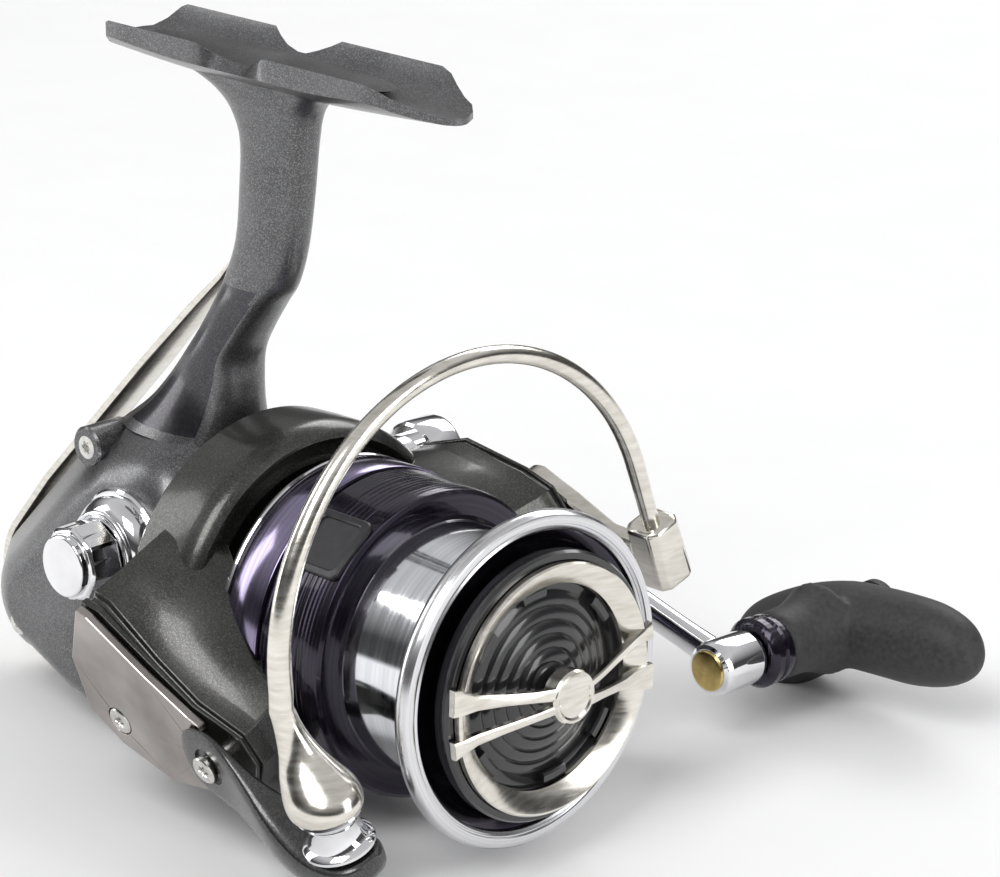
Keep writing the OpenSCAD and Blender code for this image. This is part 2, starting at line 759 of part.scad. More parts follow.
foot();
body_frame();
side_cover();
side_cover_screws();
rear_guard();
rear_guard_screw();
side_cap();
cap_collar();
left_drive_bearing();
right_drive_bearing();
pinion_bearing();
anti_reverse_clutch();
slider_guide_pin();
drive_gear();
handle_shank();
handle_arm();
arm_screw();
knob_axle();
axle_end_disc();
knob_screw();
knob_collar();
knob_grip();
knob_bearings();
knob_cap();
oscillation_gear();
rotor();
pinion();
clutch_sleeve();
rotor_nut();
nut_retainer();
arm_cover();
arm_cover_screw();
far_arm_cover();
bail_pivot_screws();
bail_spring();
bail_lever();
bail_wire();
bail_cone();
bail_holder();
roller_screw();
line_roller();
roller_bearing();
main_shaft();
slider();
slider_screw();
click_gear();
spool_body();
spool_lip();
spool_band();
spool_rear_ring();
line_clip();
drag_felts();
drag_plates();
washer_retainer();
drag_knob();
drag_trim();
drag_nut();
drag_spring();
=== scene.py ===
import json
import math
import bmesh
import bpy
from mathutils import Matrix, Vector


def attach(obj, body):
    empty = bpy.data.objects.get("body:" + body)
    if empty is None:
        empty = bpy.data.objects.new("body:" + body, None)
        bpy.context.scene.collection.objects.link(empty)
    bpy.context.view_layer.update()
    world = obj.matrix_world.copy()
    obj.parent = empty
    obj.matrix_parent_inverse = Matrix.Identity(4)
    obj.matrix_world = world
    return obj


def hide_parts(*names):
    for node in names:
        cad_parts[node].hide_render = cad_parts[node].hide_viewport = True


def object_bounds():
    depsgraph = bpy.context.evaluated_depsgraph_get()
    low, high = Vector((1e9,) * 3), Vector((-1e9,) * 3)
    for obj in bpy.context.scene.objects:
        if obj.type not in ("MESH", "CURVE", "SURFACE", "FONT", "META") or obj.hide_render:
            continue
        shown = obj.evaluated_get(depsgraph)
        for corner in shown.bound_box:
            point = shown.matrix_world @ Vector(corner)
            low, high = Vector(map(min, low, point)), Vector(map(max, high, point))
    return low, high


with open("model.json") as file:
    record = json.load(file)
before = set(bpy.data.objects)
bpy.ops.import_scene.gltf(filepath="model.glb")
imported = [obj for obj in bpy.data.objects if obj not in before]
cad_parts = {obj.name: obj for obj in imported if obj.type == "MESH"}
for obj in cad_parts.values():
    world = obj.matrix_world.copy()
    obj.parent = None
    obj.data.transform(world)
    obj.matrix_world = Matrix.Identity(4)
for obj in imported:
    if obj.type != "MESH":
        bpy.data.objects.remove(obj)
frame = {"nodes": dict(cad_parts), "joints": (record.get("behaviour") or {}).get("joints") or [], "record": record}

cad_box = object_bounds()
MM = 0.001
NODES = frame["nodes"]
JOINTS = {j["name"]: j for j in frame["joints"]}

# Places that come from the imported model, in millimetres.
AXIS_Z = JOINTS["rotor_spin"]["pos_m"][2] / MM
HANDLE = [c / MM for c in JOINTS["handle_crank"]["pos_m"]]
KNOB = [c / MM for c in JOINTS["knob_spin"]["pos_m"]]
PIVOT_X = JOINTS["bail_flip"]["pos_m"][0] / MM
ROTOR_COS, ROTOR_SIN = JOINTS["bail_flip"]["axis"][1:]
ARM_DIP = math.atan2(HANDLE[2] - KNOB[2], KNOB[0] - HANDLE[0])


# ---- Local frames: each turns local millimetres into the row frame's millimetres ----

def row(x, y, z):
    return x, y, z


def on_axis(x, y, z):
    return x, y, z + AXIS_Z


def rotor_frame(x, u, v):
    return x, u * ROTOR_COS - v * ROTOR_SIN, AXIS_Z + u * ROTOR_SIN + v * ROTOR_COS


def far_frame(x, u, v):
    return rotor_frame(x, -u, -v)


def handle_frame(x, y, z):
    return HANDLE[0] + x, y, HANDLE[2] + z


def knob_frame(x, y, z):
    return KNOB[0] + x, y, KNOB[2] + z


def arm_frame(x, y, z):
    c, s = math.cos(ARM_DIP), math.sin(ARM_DIP)
    return HANDLE[0] + x * c + z * s, y, HANDLE[2] - x * s + z * c


# ---- Materials ----

def new_material(name):
    mat = bpy.data.materials.new(name)
    mat.use_nodes = True
    tree = mat.node_tree
    return mat, tree, tree.nodes["Principled BSDF"]


def link(tree, out, inp):
    tree.links.new(out, inp)


def node(tree, kind, **values):
    n = tree.nodes.new(kind)
    for key, value in values.items():
        if hasattr(n, key):
            setattr(n, key, value)
        else:
            n.inputs[key.replace("_", " ")].default_value = value
    return n


def object_coords(tree, stretch=(1, 1, 1)):
    """Object coordinates, in metres, scaled on each axis."""
    coords = tree.nodes.new("ShaderNodeTexCoord")
    mapping = tree.nodes.new("ShaderNodeMapping")
    mapping.inputs["Scale"].default_value = stretch
    link(tree, coords.outputs["Object"], mapping.inputs["Vector"])
    return mapping.outputs["Vector"]


def turned_coords(tree):
    """Distance along the spool axis and from it, so that a pattern makes rings."""
    coords = tree.nodes.new("ShaderNodeTexCoord")
    split = tree.nodes.new("ShaderNodeSeparateXYZ")
    link(tree, coords.outputs["Object"], split.inputs["Vector"])
    flat = tree.nodes.new("ShaderNodeCombineXYZ")
    link(tree, split.outputs["Y"], flat.inputs["Y"])
    lift = node(tree, "ShaderNodeMath", operation="SUBTRACT")
    lift.inputs[1].default_value = AXIS_Z * MM
    link(tree, split.outputs["Z"], lift.inputs[0])
    link(tree, lift.outputs[0], flat.inputs["Z"])
    size = node(tree, "ShaderNodeVectorMath", operation="LENGTH")
    link(tree, flat.outputs["Vector"], size.inputs[0])
    pair = tree.nodes.new("ShaderNodeCombineXYZ")
    link(tree, split.outputs["X"], pair.inputs["X"])
    link(tree, size.outputs["Value"], pair.inputs["Y"])
    return pair.outputs["Vector"]


def noise_on(tree, vector, scale, detail=3.0, rough=0.5):
    tex = node(tree, "ShaderNodeTexNoise", Scale=scale, Detail=detail, Roughness=rough)
    link(tree, vector, tex.inputs["Vector"])
    return tex.outputs["Fac"]


def spread(tree, fac, low, high, out_low, out_high):
    """Maps a value's range low..high to out_low..out_high, which may be numbers or colours."""
    if isinstance(out_low, (int, float)):
        n = tree.nodes.new("ShaderNodeMapRange")
        for name, value in zip(("From Min", "From Max", "To Min", "To Max"),
                               (low, high, out_low, out_high)):
            n.inputs[name].default_value = value
        link(tree, fac, n.inputs["Value"])
        return n.outputs["Result"]
    n = tree.nodes.new("ShaderNodeValToRGB")
    n.color_ramp.elements[0].position = low
    n.color_ramp.elements[0].color = (*out_low, 1)
    n.color_ramp.elements[1].position = high
    n.color_ramp.elements[1].color = (*out_high, 1)
    link(tree, fac, n.inputs["Fac"])
    return n.outputs["Color"]


def add_bump(tree, bsdf, height, distance, strength=1.0):
    n = node(tree, "ShaderNodeBump", Strength=strength, Distance=distance)
    link(tree, height, n.inputs["Height"])
    link(tree, n.outputs["Normal"], bsdf.inputs["Normal"])


def make_material(name, dark, light, metallic, rough, grain=("object", 400, (1, 1, 1)),
                  bump=0.0, coat=0.0, coat_rough=0.1, contrast=(0.3, 0.7), flake=None,
                  rings=None):
    """A material whose colour goes from dark to light and whose gloss varies with its grain.

    grain is the kind of coordinates, the pattern's scale per metre and its stretch; flake adds
    sparkle of that scale; rings adds turned grooves of that pitch in metres."""
    mat, tree, bsdf = new_material(name)
    vector = turned_coords(tree) if grain[0] == "turned" else object_coords(tree, grain[2])
    fac = noise_on(tree, vector, grain[1])
    color = spread(tree, fac, contrast[0], contrast[1], dark, light)
    if flake:
        cells = node(tree, "ShaderNodeTexVoronoi", Scale=flake)
        link(tree, object_coords(tree), cells.inputs["Vector"])
        split = tree.nodes.new("ShaderNodeSeparateColor")
        link(tree, cells.outputs["Color"], split.inputs["Color"])
        bright = spread(tree, split.outputs[0], 0.55, 1.0, 0.0, 1.0)
        mix = node(tree, "ShaderNodeMix", data_type="RGBA")
        link(tree, bright, mix.inputs[0])
        link(tree, color, mix.inputs[6])
        mix.inputs[7].default_value = (*[min(1.0, c * 1.9) for c in light], 1)
        color = mix.outputs[2]
    link(tree, color, bsdf.inputs["Base Color"])
    link(tree, spread(tree, fac, 0.2, 0.8, rough[0], rough[1]), bsdf.inputs["Roughness"])
    bsdf.inputs["Metallic"].default_value = metallic
    bsdf.inputs["Coat Weight"].default_value = coat
    bsdf.inputs["Coat Roughness"].default_value = coat_rough
    if rings:
        wave = node(tree, "ShaderNodeTexWave", Scale=0.314 / rings, Distortion=0.0)
        wave.bands_direction = "X"
        link(tree, turned_coords(tree), wave.inputs["Vector"])
        add_bump(tree, bsdf, wave.outputs["Fac"], bump)
    elif bump:
        add_bump(tree, bsdf, fac, bump)
    return mat


def make_materials():
    m = {}
    m["body_graphite"] = make_material(
        "graphite_paint", (0.085, 0.085, 0.087), (0.135, 0.135, 0.138), 0.85, (0.3, 0.4),
        grain=("object", 120, (1, 1, 1)), coat=0.35, coat_rough=0.12, flake=9000)
    # Darker than the body paint: painted shade for the stem's recessed side panels, not a second paint colour
    m["panel"] = make_material(
        "graphite_panel_painted_shade", (0.03, 0.03, 0.034), (0.055, 0.053, 0.06), 0.8, (0.22, 0.3),
        grain=("object", 160, (1, 1, 1)), coat=0.4, flake=9000)
    m["rotor_charcoal"] = make_material(
        "rotor_paint", (0.035, 0.035, 0.033), (0.06, 0.06, 0.056), 0.8, (0.24, 0.34),
        grain=("object", 150, (1, 1, 1)), coat=0.4, coat_rough=0.1, flake=9000)
    m["lever_dark"] = make_material(
        "lever_paint", (0.05, 0.05, 0.05), (0.08, 0.08, 0.08), 0.85, (0.24, 0.32),
        grain=("object", 150, (1, 1, 1)), coat=0.4, coat_rough=0.08, flake=9000)
    m["champagne_metal"] = make_material(
        "champagne_metal", (0.66, 0.63, 0.56), (0.86, 0.83, 0.77), 1.0, (0.13, 0.24),
        grain=("object", 260, (1, 1, 6)), bump=0.00001)
    m["polished_chrome"] = make_material(
        "polished_chrome", (0.78, 0.78, 0.8), (0.9, 0.9, 0.91), 1.0, (0.04, 0.1),
        grain=("object", 180, (1, 1, 1)))
    m["warm_silver"] = make_material(
        "warm_silver", (0.3, 0.275, 0.26), (0.52, 0.485, 0.46), 1.0, (0.12, 0.22),
        grain=("object", 90, (1, 1, 1)), bump=0.00001)
    m["satin_silver"] = make_material(
        "satin_silver", (0.62, 0.62, 0.64), (0.86, 0.86, 0.88), 1.0, (0.16, 0.3),
        grain=("turned", 2600, None), bump=0.00001)
    m["arbor_chrome"] = make_material(
        "arbor_chrome", (0.7, 0.71, 0.74), (0.86, 0.87, 0.9), 1.0, (0.06, 0.14),
        grain=("turned", 1800, None))
    m["violet_anodised"] = make_material(
        "violet_anodised", (0.012, 0.01, 0.018), (0.028, 0.022, 0.04), 0.85, (0.16, 0.26),
        grain=("turned", 2200, None), bump=0.00003, rings=0.0007, coat=0.5, coat_rough=0.06)
    m["lilac_metal"] = make_material(
        "lilac_metal", (0.2, 0.17, 0.27), (0.36, 0.32, 0.46), 1.0, (0.1, 0.2),
        grain=("turned", 1500, None))
    m["black_gloss"] = make_material(
        "black_gloss", (0.01, 0.01, 0.011), (0.02, 0.02, 0.022), 0.0, (0.15, 0.28),
        grain=("turned", 1500, None), coat=0.6, coat_rough=0.05)
    m["black_plastic"] = make_material(
        "black_plastic", (0.014, 0.014, 0.016), (0.025, 0.025, 0.028), 0.0, (0.3, 0.45),
        grain=("object", 900, (1, 1, 1)), bump=0.00002)
    m["knob_rubber"] = make_material(
        "knob_rubber", (0.02, 0.02, 0.021), (0.042, 0.042, 0.044), 0.0, (0.5, 0.66),
        grain=("object", 1400, (1, 1, 1)), bump=0.00005)
    m["gold_disc"] = make_material(
        "gold_disc", (0.5, 0.36, 0.12), (0.8, 0.62, 0.26), 1.0, (0.16, 0.3),
        grain=("object", 500, (1, 1, 1)))
    m["gear_brass"] = make_material(
        "gear_brass", (0.55, 0.42, 0.18), (0.78, 0.62, 0.32), 1.0, (0.22, 0.36),
        grain=("object", 700, (1, 1, 1)))
    m["bearing_steel"] = make_material(
        "bearing_steel", (0.5, 0.5, 0.52), (0.7, 0.7, 0.72), 1.0, (0.18, 0.3),
        grain=("object", 900, (1, 1, 1)))
    m["steel_screw"] = make_material(
        "steel_screw", (0.55, 0.54, 0.52), (0.8, 0.79, 0.76), 1.0, (0.15, 0.3),
        grain=("object", 900, (1, 1, 1)))
    m["slider_zinc"] = make_material(
        "slider_zinc", (0.3, 0.3, 0.32), (0.45, 0.45, 0.47), 0.9, (0.4, 0.55),
        grain=("object", 900, (1, 1, 1)), bump=0.00003)
    m["white_nylon"] = make_material(
        "white_nylon", (0.72, 0.72, 0.68), (0.85, 0.85, 0.82), 0.0, (0.4, 0.5),
        grain=("object", 500, (1, 1, 1)))
    m["drag_felt"] = make_material(
        "drag_felt", (0.3, 0.24, 0.16), (0.5, 0.42, 0.3), 0.0, (0.8, 0.95),
        grain=("object", 2500, (1, 1, 1)), bump=0.0001)
    return m


MATS = make_materials()


# ---- Mesh helpers ----

def add_piece(name, body, slot, verts, faces, place=row, replaces=(), material=None,
              smooth=40, bevel=0.0, subsurf=0):
    """A closed mesh from local millimetres, riding on a body."""
    mesh = bpy.data.meshes.new(name)
    mesh.from_pydata([Vector(place(*v)) * MM for v in verts], [], faces)
    obj = bpy.data.objects.new(name, mesh)
    bpy.context.scene.collection.objects.link(obj)
    clean(mesh)
    mesh.materials.append(material or MATS[slot])
    if subsurf:
        sub = obj.modifiers.new("subsurf", "SUBSURF")
        sub.levels = sub.render_levels = subsurf
    if bevel:
        add_bevel(obj, bevel)
    shade(obj, smooth)
    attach(obj, body)
    if replaces:
        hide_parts(*replaces)
    return obj


def clean(mesh):
    bm = bmesh.new()
    bm.from_mesh(mesh)
    bmesh.ops.remove_doubles(bm, verts=bm.verts, dist=1e-7)
    bmesh.ops.recalc_face_normals(bm, faces=bm.faces)
    bm.to_mesh(mesh)
    bm.free()


def shade(obj, angle):
    obj.data.shade_smooth()
    obj.data.set_sharp_from_angle(angle=math.radians(angle))


def add_bevel(obj, width, segments=3, angle=32):
    bev = obj.modifiers.new("bevel", "BEVEL")
    bev.width = width * MM
    bev.segments = segments
    bev.limit_method = "ANGLE"
    bev.angle_limit = math.radians(angle)
    bev.harden_normals = False


def polish_cad(name, slot, bevel=0.0):
    """Gives a CAD node its material, and softens its sharp edges."""
    obj = NODES[name]
    obj.data.materials.clear()
    obj.data.materials.append(MATS[slot])
    if bevel:
        weld = obj.modifiers.new("weld", "WELD")
        weld.merge_threshold = 1e-6
        add_bevel(obj, bevel, segments=2)


def loft(rings, cap_start=True, cap_end=True, closed=True):
    """Faces between rings of points with equal counts."""
    n = len(rings[0])
    verts = [p for ring in rings for p in ring]
    faces = []
    for i in range(len(rings) - 1):
        for j in range(n if closed else n - 1):
            k = (j + 1) % n
            faces.append((i * n + j, i * n + k, (i + 1) * n + k, (i + 1) * n + j))
    if cap_start:
        faces.append(tuple(reversed(range(n))))
    if cap_end:
        faces.append(tuple(range((len(rings) - 1) * n, len(rings) * n)))
    return verts, faces


def turned(profile, steps=128, axis="x"):
    """A closed profile of (radius, x) pairs turned about the local x, y or z axis."""
    verts, faces = [], []
    n = len(profile)
    for i in range(steps):
        a = 2 * math.pi * i / steps
        for r, t in profile:
            c, s = r * math.cos(a), r * math.sin(a)
            verts.append({"x": (t, c, s), "y": (c, t, s), "z": (c, s, t)}[axis])
    for i in range(steps):
        k = (i + 1) % steps
        for j in range(n):
            m = (j + 1) % n
            if profile[j][0] == 0 and profile[m][0] == 0:
                continue
            faces.append((i * n + j, i * n + m, k * n + m, k * n + j))
    return verts, faces


def arc(x, z, r, a0, a1, n=12):
    return [(x + r * math.cos(math.radians(a0 + (a1 - a0) * i / n)),
             z + r * math.sin(math.radians(a0 + (a1 - a0) * i / n))) for i in range(n + 1)]


def lerp(a, b, t):
    return a + (b - a) * t


def table_at(table, t):
    """Values at t from rows of (t, a, b, ...), joined by straight lines."""
    for low, high in zip(table, table[1:]):
        if t <= high[0]:
            f = (t - low[0]) / (high[0] - low[0])
            return [lerp(a, b, f) for a, b in zip(low[1:], high[1:])]
    return list(table[-1][1:])


def smooth_table(table, steps):
    """Rows of a table resampled on a Catmull-Rom curve."""
    rows = []
    count = len(table)
    for i in range(count - 1):
        p0, p1, p2, p3 = (table[max(i - 1, 0)], table[i], table[i + 1],
                          table[min(i + 2, count - 1)])
        for k in range(steps):
            t = k / steps
            rows.append([0.5 * (2 * b + (c - a) * t + (2 * a - 5 * b + 4 * c - d) * t * t
                                + (3 * b - a - 3 * c + d) * t ** 3)
                         for a, b, c, d in zip(p0, p1, p2, p3)])
    rows.append(list(table[-1]))
    return rows


def carve(obj, verts, faces, place, operation="DIFFERENCE"):
    """Cuts a closed mesh out of a piece, or joins it on, and applies the result."""
    mesh = bpy.data.meshes.new("cutter")
    mesh.from_pydata([Vector(place(*v)) * MM for v in verts], [], faces)
    clean(mesh)
    cutter = bpy.data.objects.new("cutter", mesh)
    bpy.context.scene.collection.objects.link(cutter)
    mod = obj.modifiers.new("carve", "BOOLEAN")
    mod.operation = operation
    mod.solver = "EXACT"
    mod.object = cutter
    apply_modifiers(obj)
    bpy.data.objects.remove(cutter)


def apply_modifiers(obj):
    bpy.context.view_layer.update()
    deps = bpy.context.evaluated_depsgraph_get()
    mesh = bpy.data.meshes.new_from_object(obj.evaluated_get(deps))
    obj.modifiers.clear()
    obj.data = mesh


# ---- Foot, stem and housing ----

SADDLE_R = 8.3
STEM = [  # height, rear x, front x, half width, depth of the side panels
    (-7.0, -26.0, 21.0, 4.4, 0.0), (-8.9, -21.5, 15.5, 4.6, 0.0), (-10.0, -15.8, 10.2, 4.7, 0.0),
    (-11.4, -11.6, 7.6, 4.6, 0.0), (-13.6, -8.6, 6.0, 4.3, 0.0), (-17.5, -6.8, 5.1, 4.0, 0.0),
    (-24.0, -7.1, 4.2, 3.9, 0.0), (-31.5, -8.1, 2.8, 3.85, 0.0), (-37.0, -10.4, 0.8, 3.9, 0.05),
    (-40.5, -12.0, -2.2, 4.5, 0.25), (-44.5, -14.4, -5.4, 5.0, 0.5), (-48.5, -17.2, -8.0, 5.6, 0.6),
    (-52.8, -20.9, -8.4, 6.0, 0.6), (-57.0, -25.0, -8.6, 7.0, 0.4), (-60.8, -30.0, -8.5, 8.6, 0.0)]


def foot_half_width(x, waisted):
    """Half the foot's width at x, with or without the waist in the middle."""
    rows = [(-34.0, 0.3), (-33.2, 1.9), (-32.0, 2.9), (-30.4, 3.6), (-28.0, 6.6), (-27.0, 6.9)]
    rows += [(-9.0, 6.9), (-4.0, 4.9), (-1.0, 4.9), (4.0, 6.9)] if waisted else [(4.0, 6.9)]
    rows += [(23.0, 6.9), (25.0, 6.5), (29.6, 4.4), (31.8, 3.6), (33.2, 2.4), (34.0, 0.4)]
    return table_at(rows, x)[0]


def build_foot():
    stations = sorted(set([-34.0, -33.7, -33.2, -32.6, -32.0, -31.2, -30.4, -29.2, -28.0, -27.0]
                          + [-24.0 + 2.5 * i for i in range(7)]
                          + [-9.0, -7.4, -5.6, -4.0, -2.5, -1.0, 0.6, 2.4, 4.0]
                          + [6.5 + 2.75 * i for i in range(7)]
                          + [24.0, 25.0, 27.0, 29.6, 30.8, 31.8, 32.6, 33.2, 33.7, 34.0]))
    rings = []
    across = 12
    for x in stations:
        thick = lerp(2.0, 0.9, max(0.0, (abs(x + 1) - 12) / 22) ** 1.3)
        top_w, low_w = foot_half_width(x, True), foot_half_width(x, False)
        ring = []
        for i in range(across + 1):
            y = lerp(-top_w, top_w, i / across)
            ring.append((x, y, -math.sqrt(SADDLE_R ** 2 - y * y)))
        for i in range(across + 1):
            y = lerp(low_w, -low_w, i / across)
            ring.append((x, y, -math.sqrt((SADDLE_R + thick) ** 2 - y * y)))
        rings.append(ring)
    add_piece("foot", "body", "body_graphite", *loft(rings), replaces=("foot",),
              bevel=0.28, smooth=35)


def stem_ring(level, sides=48):
    z, rear, front, half, panel = level
    a, xc = (front - rear) / 2, (front + rear) / 2
    ring = []
    for j in range(sides):
        t = 2 * math.pi * j / sides
        c, s = math.cos(t), math.sin(t)
        x = abs(c) ** 0.82 * (1 if c > 0 else -1)
        y = abs(s) ** 0.82 * (1 if s > 0 else -1)
        dent = panel * max(0.0, 1 - (abs(c) / 0.72) ** 6)
        ring.append((xc + a * x, (half - dent) * y, z))
    return ring


def build_stem():
    levels = smooth_table(STEM, 5)
    stem = add_piece("stem", "body", "body_graphite", *loft([stem_ring(v) for v in levels]),
                     replaces=("body_frame",), smooth=60)
    stem.data.materials.append(MATS["panel"])
    # Faces inside the recessed side panels take the darker panel material: painted shade in the recess
    for poly in stem.data.polygons:
        c = poly.center / MM
        _, rear, front, _, depth = table_at([(-v[0], *v) for v in STEM], -c.z)
        mid = abs(c.x - (rear + front) / 2) / ((front - rear) / 2)
        if depth > 0.1 and mid < 0.62 and abs(c.y) > 1:
            poly.material_index = 1


HALF_W = 14.5       # half the housing's width
MID_W = 4.5         # the housing is straight this far to each side of the middle
FLANK_X = -14.0     # the flanks get shorter behind here
TAIL_X, TAIL_RUN = -28.0, 16.0      # where the tail starts, and over what length


def side_outline(t):
    """Side outline of the housing, moved inwards by t: x and height above the spool axis."""
    return ([(-8 - t, -18 + t), (-8 - t, 17 - t), (-12 - t / 2, 21 - t), (-18, 21.2 - t),
             (-25, 20.6 - t), (-33, 17.4 - 1.2 * t)]
            + arc(-48.6, -11.2, 9.2 - t, 135, 265)
            + [(-38, -22.3 + t), (-24, -22.5 + t), (-13, -22.3 + t)])


def housing_ring(y, t):
    """The housing's outline at y. Its flanks narrow outwards, most of all at the tail."""
    out = max(0.0, abs(y) - MID_W) / (HALF_W - MID_W)
    shorter, low_front, low_tail = 0.26 * out, 0.115 * out, 0.3 * out
    ring = []
    for x, z in side_outline(t):
        tail = min(1.0, max(0.0, (TAIL_X - x) / TAIL_RUN))
        middle = lerp(-22.0, -4.0, tail)
        ring.append((FLANK_X + (x - FLANK_X) * (1 - shorter if x < FLANK_X else 1), y,
                     middle + (z - middle) * (1 - lerp(low_front, low_tail, tail))))
    return ring


COVER_SCREWS = ((-28, 16.6, 12.4), (-42.5, -12.5, 14.3), (-14.5, -17.0, 14.5))  # x, z, face


def edge_rounding(side, radius, steps=6):
    """(y, inset) pairs from the flat side to the housing's full outline."""
    return [(side * (HALF_W - radius * (1 - math.cos(a))), radius * (1 - math.sin(a)))
            for a in (math.pi / 2 * i / steps for i in range(steps + 1))]


def build_housing():
    radius = 3.4
    seam = -MID_W
    left = edge_rounding(-1, radius)
    cover = [housing_ring(y, t) for y, t in left] + [housing_ring(seam - 0.08, 0.0),
                                                     housing_ring(seam - 0.08, 1.4)]
    frame_side = [housing_ring(seam + 0.08, 1.4), housing_ring(seam + 0.08, 0.0),
                  housing_ring(2.0, 0.0)] + [housing_ring(y, t)
                                             for y, t in reversed(edge_rounding(1, radius))]
    for name, rings, ends, node_name in (
            ("housing_cover", cover, (True, False), "side_cover"),
            ("housing_shell", frame_side, (False, True), "body_frame")):
        verts, faces = loft(rings, *ends)
        shell = add_piece(name, "body", "body_graphite", verts, faces, place=on_axis,
                          replaces=(node_name,), smooth=50)
        thick = shell.modifiers.new("solidify", "SOLIDIFY")
        thick.thickness = 1.2 * MM
        thick.offset = -1
    for i, (x, z, face) in enumerate(COVER_SCREWS):
        if i == 0:      # this one stands on a boss
            boss = turned([(1.0, -face), (2.6, -face), (2.9, 0.3 - face), (2.9, -6), (1.0, -6)],
                          48, "y")
            add_piece("cover_boss", "body", "body_graphite",
                      [(x + bx, y, z + bz) for bx, y, bz in boss[0]], boss[1], place=on_axis,
                      replaces=("side_cover",), smooth=30)
        torx_screw(f"cover_screw_{i}", "body", "steel_screw", on_axis, (x, -face - 0.05, z),
                   face - 0.6, 1.75, 0.98, ("side_cover_screws",), head=0.8)
    flange = [(6.6, -8), (20.5, -8), (20.5, -4), (19.9, -3.3), (11.3, -3.3), (11.3, 2.6),
              (10.9, 3.0), (9.4, 3.0), (9.4, -1.8), (6.6, -1.8)]
    add_piece("front_flange", "body", "body_graphite", *turned(flange), place=on_axis,
              replaces=("body_frame",))


def guard_path():
    """Middle line of the guard strip: x, height above the spool axis, half width."""
    top = [(-9.6, 44.6), (-11.6, 42.0)]
    slope = [(-13.6 - 3.55 * i, 40.2 - 3.55 * i) for i in range(1, 11)]
    return top + slope + arc(-48.6, -11.2, 10.8, 135, 262, 16)


def build_guard():
    points = guard_path()
    rings = []
    for i, (x, z) in enumerate(points):
        a, b = points[max(i - 1, 0)], points[min(i + 1, len(points) - 1)]
        run = math.hypot(b[0] - a[0], b[1] - a[1])
        nx, nz = (b[1] - a[1]) / run, -(b[0] - a[0]) / run
        half = table_at([(0, 1.4), (2, 2.4), (5, 3.1), (len(points), 3.2)], i)[0]
        t = table_at([(0, 0.25), (2, 0.6), (len(points), 0.75)], i)[0]
        ring = []
        for y, d in ((-half, -t), (-half, t * 0.5), (-half + 0.7, t), (half - 0.7, t),
                     (half, t * 0.5), (half, -t)):
            ring.append((x + nx * -d, y, z + nz * -d))
        rings.append(ring)
    add_piece("guard_strip", "body", "champagne_metal", *loft(rings), place=on_axis,
              replaces=("rear_guard",), bevel=0.12, smooth=30)


def build_cap():
    """The dome collar and the faceted screw cap on the near side."""
    dome = ([(4.1, -14.4), (8.3, -14.4), (8.3, -15.1), (8.0, -15.4), (7.6, -15.45)]
            + arc(4.6, -15.7, 3.0, 0, -78, 10) + [(5.0, -19.0), (4.1, -19.0)])
    add_piece("collar_dome", "body", "polished_chrome", *turned(dome, axis="y"),
              place=handle_frame, replaces=("cap_collar",), smooth=30)
    ring = arc(5.75, -18.6, 0.45, -90, 270, 12)
    add_piece("collar_bead", "body", "polished_chrome", *turned(ring[:-1], axis="y"),
              place=handle_frame, smooth=60)
    facets = 8
    rings = []
    for y, r, flat in ((-13.0, 3.9, 0), (-19.2, 3.9, 0), (-19.2, 5.0, 1), (-19.6, 5.3, 1),
                       (-23.9, 5.2, 1), (-24.3, 4.8, 0.4), (-24.4, 4.3, 0), (-25.3, 4.3, 0),
                       (-25.5, 4.1, 0)):
        ring = []
        for j in range(facets * 8):
            a = 2 * math.pi * j / (facets * 8)
            half = math.pi / facets
            local = (a + math.radians(8)) % (2 * half) - half
            k = math.cos(half) / math.cos(local)
            rr = r * lerp(1.0, k * 1.035, flat)
            ring.append((rr * math.cos(a), y, rr * math.sin(a)))
        rings.append(ring)
    add_piece("cap_knob", "body", "polished_chrome", *loft(rings), place=handle_frame,
              replaces=("side_cap",), bevel=0.1, smooth=14)


# ---- Screws ----

def torx_screw(name, body, slot, place, start, length, r_head, r_pin, replaces=(), axis="y",
               sign=1, head=0.9):
    """A screw with a rounded head and a six-lobed recess. The head's face is at start."""
    def put(x, y, t):
        local = {"y": (x, t, y), "z": (x, y, t), "x": (t, x, y)}[axis]
        return tuple(a + b for a, b in zip(start, local))

    def ring(r, depth, lobes=0.0, sides=72):
        out = []
        for j in range(sides):
            a = 2 * math.pi * j / sides
            rr = r * (1 + lobes * math.cos(6 * a))
            out.append(put(rr * math.cos(a), rr * math.sin(a), sign * depth))
        return out
    hole = r_head * 0.42
    rings = [ring(hole * 0.5, 0.62 * head, 0.1), ring(hole * 0.92, 0.6 * head, 0.2),
             ring(hole, 0.1, 0.2), ring(hole * 1.08, 0.02, 0.18), ring(r_head * 0.66, 0.0),
             ring(r_head * 0.92, 0.05), ring(r_head, 0.2), ring(r_head, head),
             ring(r_pin, head), ring(r_pin, length)]
    add_piece(name, body, slot, *loft(rings), place=place, replaces=replaces, smooth=28)


# ---- Rotor ----

ARM_U = 30.1
ARM_OUTLINE = [(-7.2, -0.4), (-7.2, 8.6), (-2.4, 18), (0.6, 17.4), (8.6, 11.2), (15, 6.6), (23, 4),
               (25, 0), (23, -4.4), (18.5, -6.2), (7.5, -8), (-2, -4.6)]


def inset(points, d):
    """An outline moved inwards by d."""
    out = []
    n = len(points)
    area = sum(a[0] * b[1] - b[0] * a[1] for a, b in zip(points, points[1:] + points[:1]))
    side = 1 if area > 0 else -1
    for i in range(n):
        a, b, c = (Vector(points[i - 1]), Vector(points[i]), Vector(points[(i + 1) % n]))
        d1, d2 = (b - a).normalized(), (c - b).normalized()
        n1, n2 = Vector((-d1.y, d1.x)) * side, Vector((-d2.y, d2.x)) * side
        mid = (n1 + n2).normalized()
        out.append(tuple(b + mid * (d / max(0.35, mid.dot(n1)))))
    return out


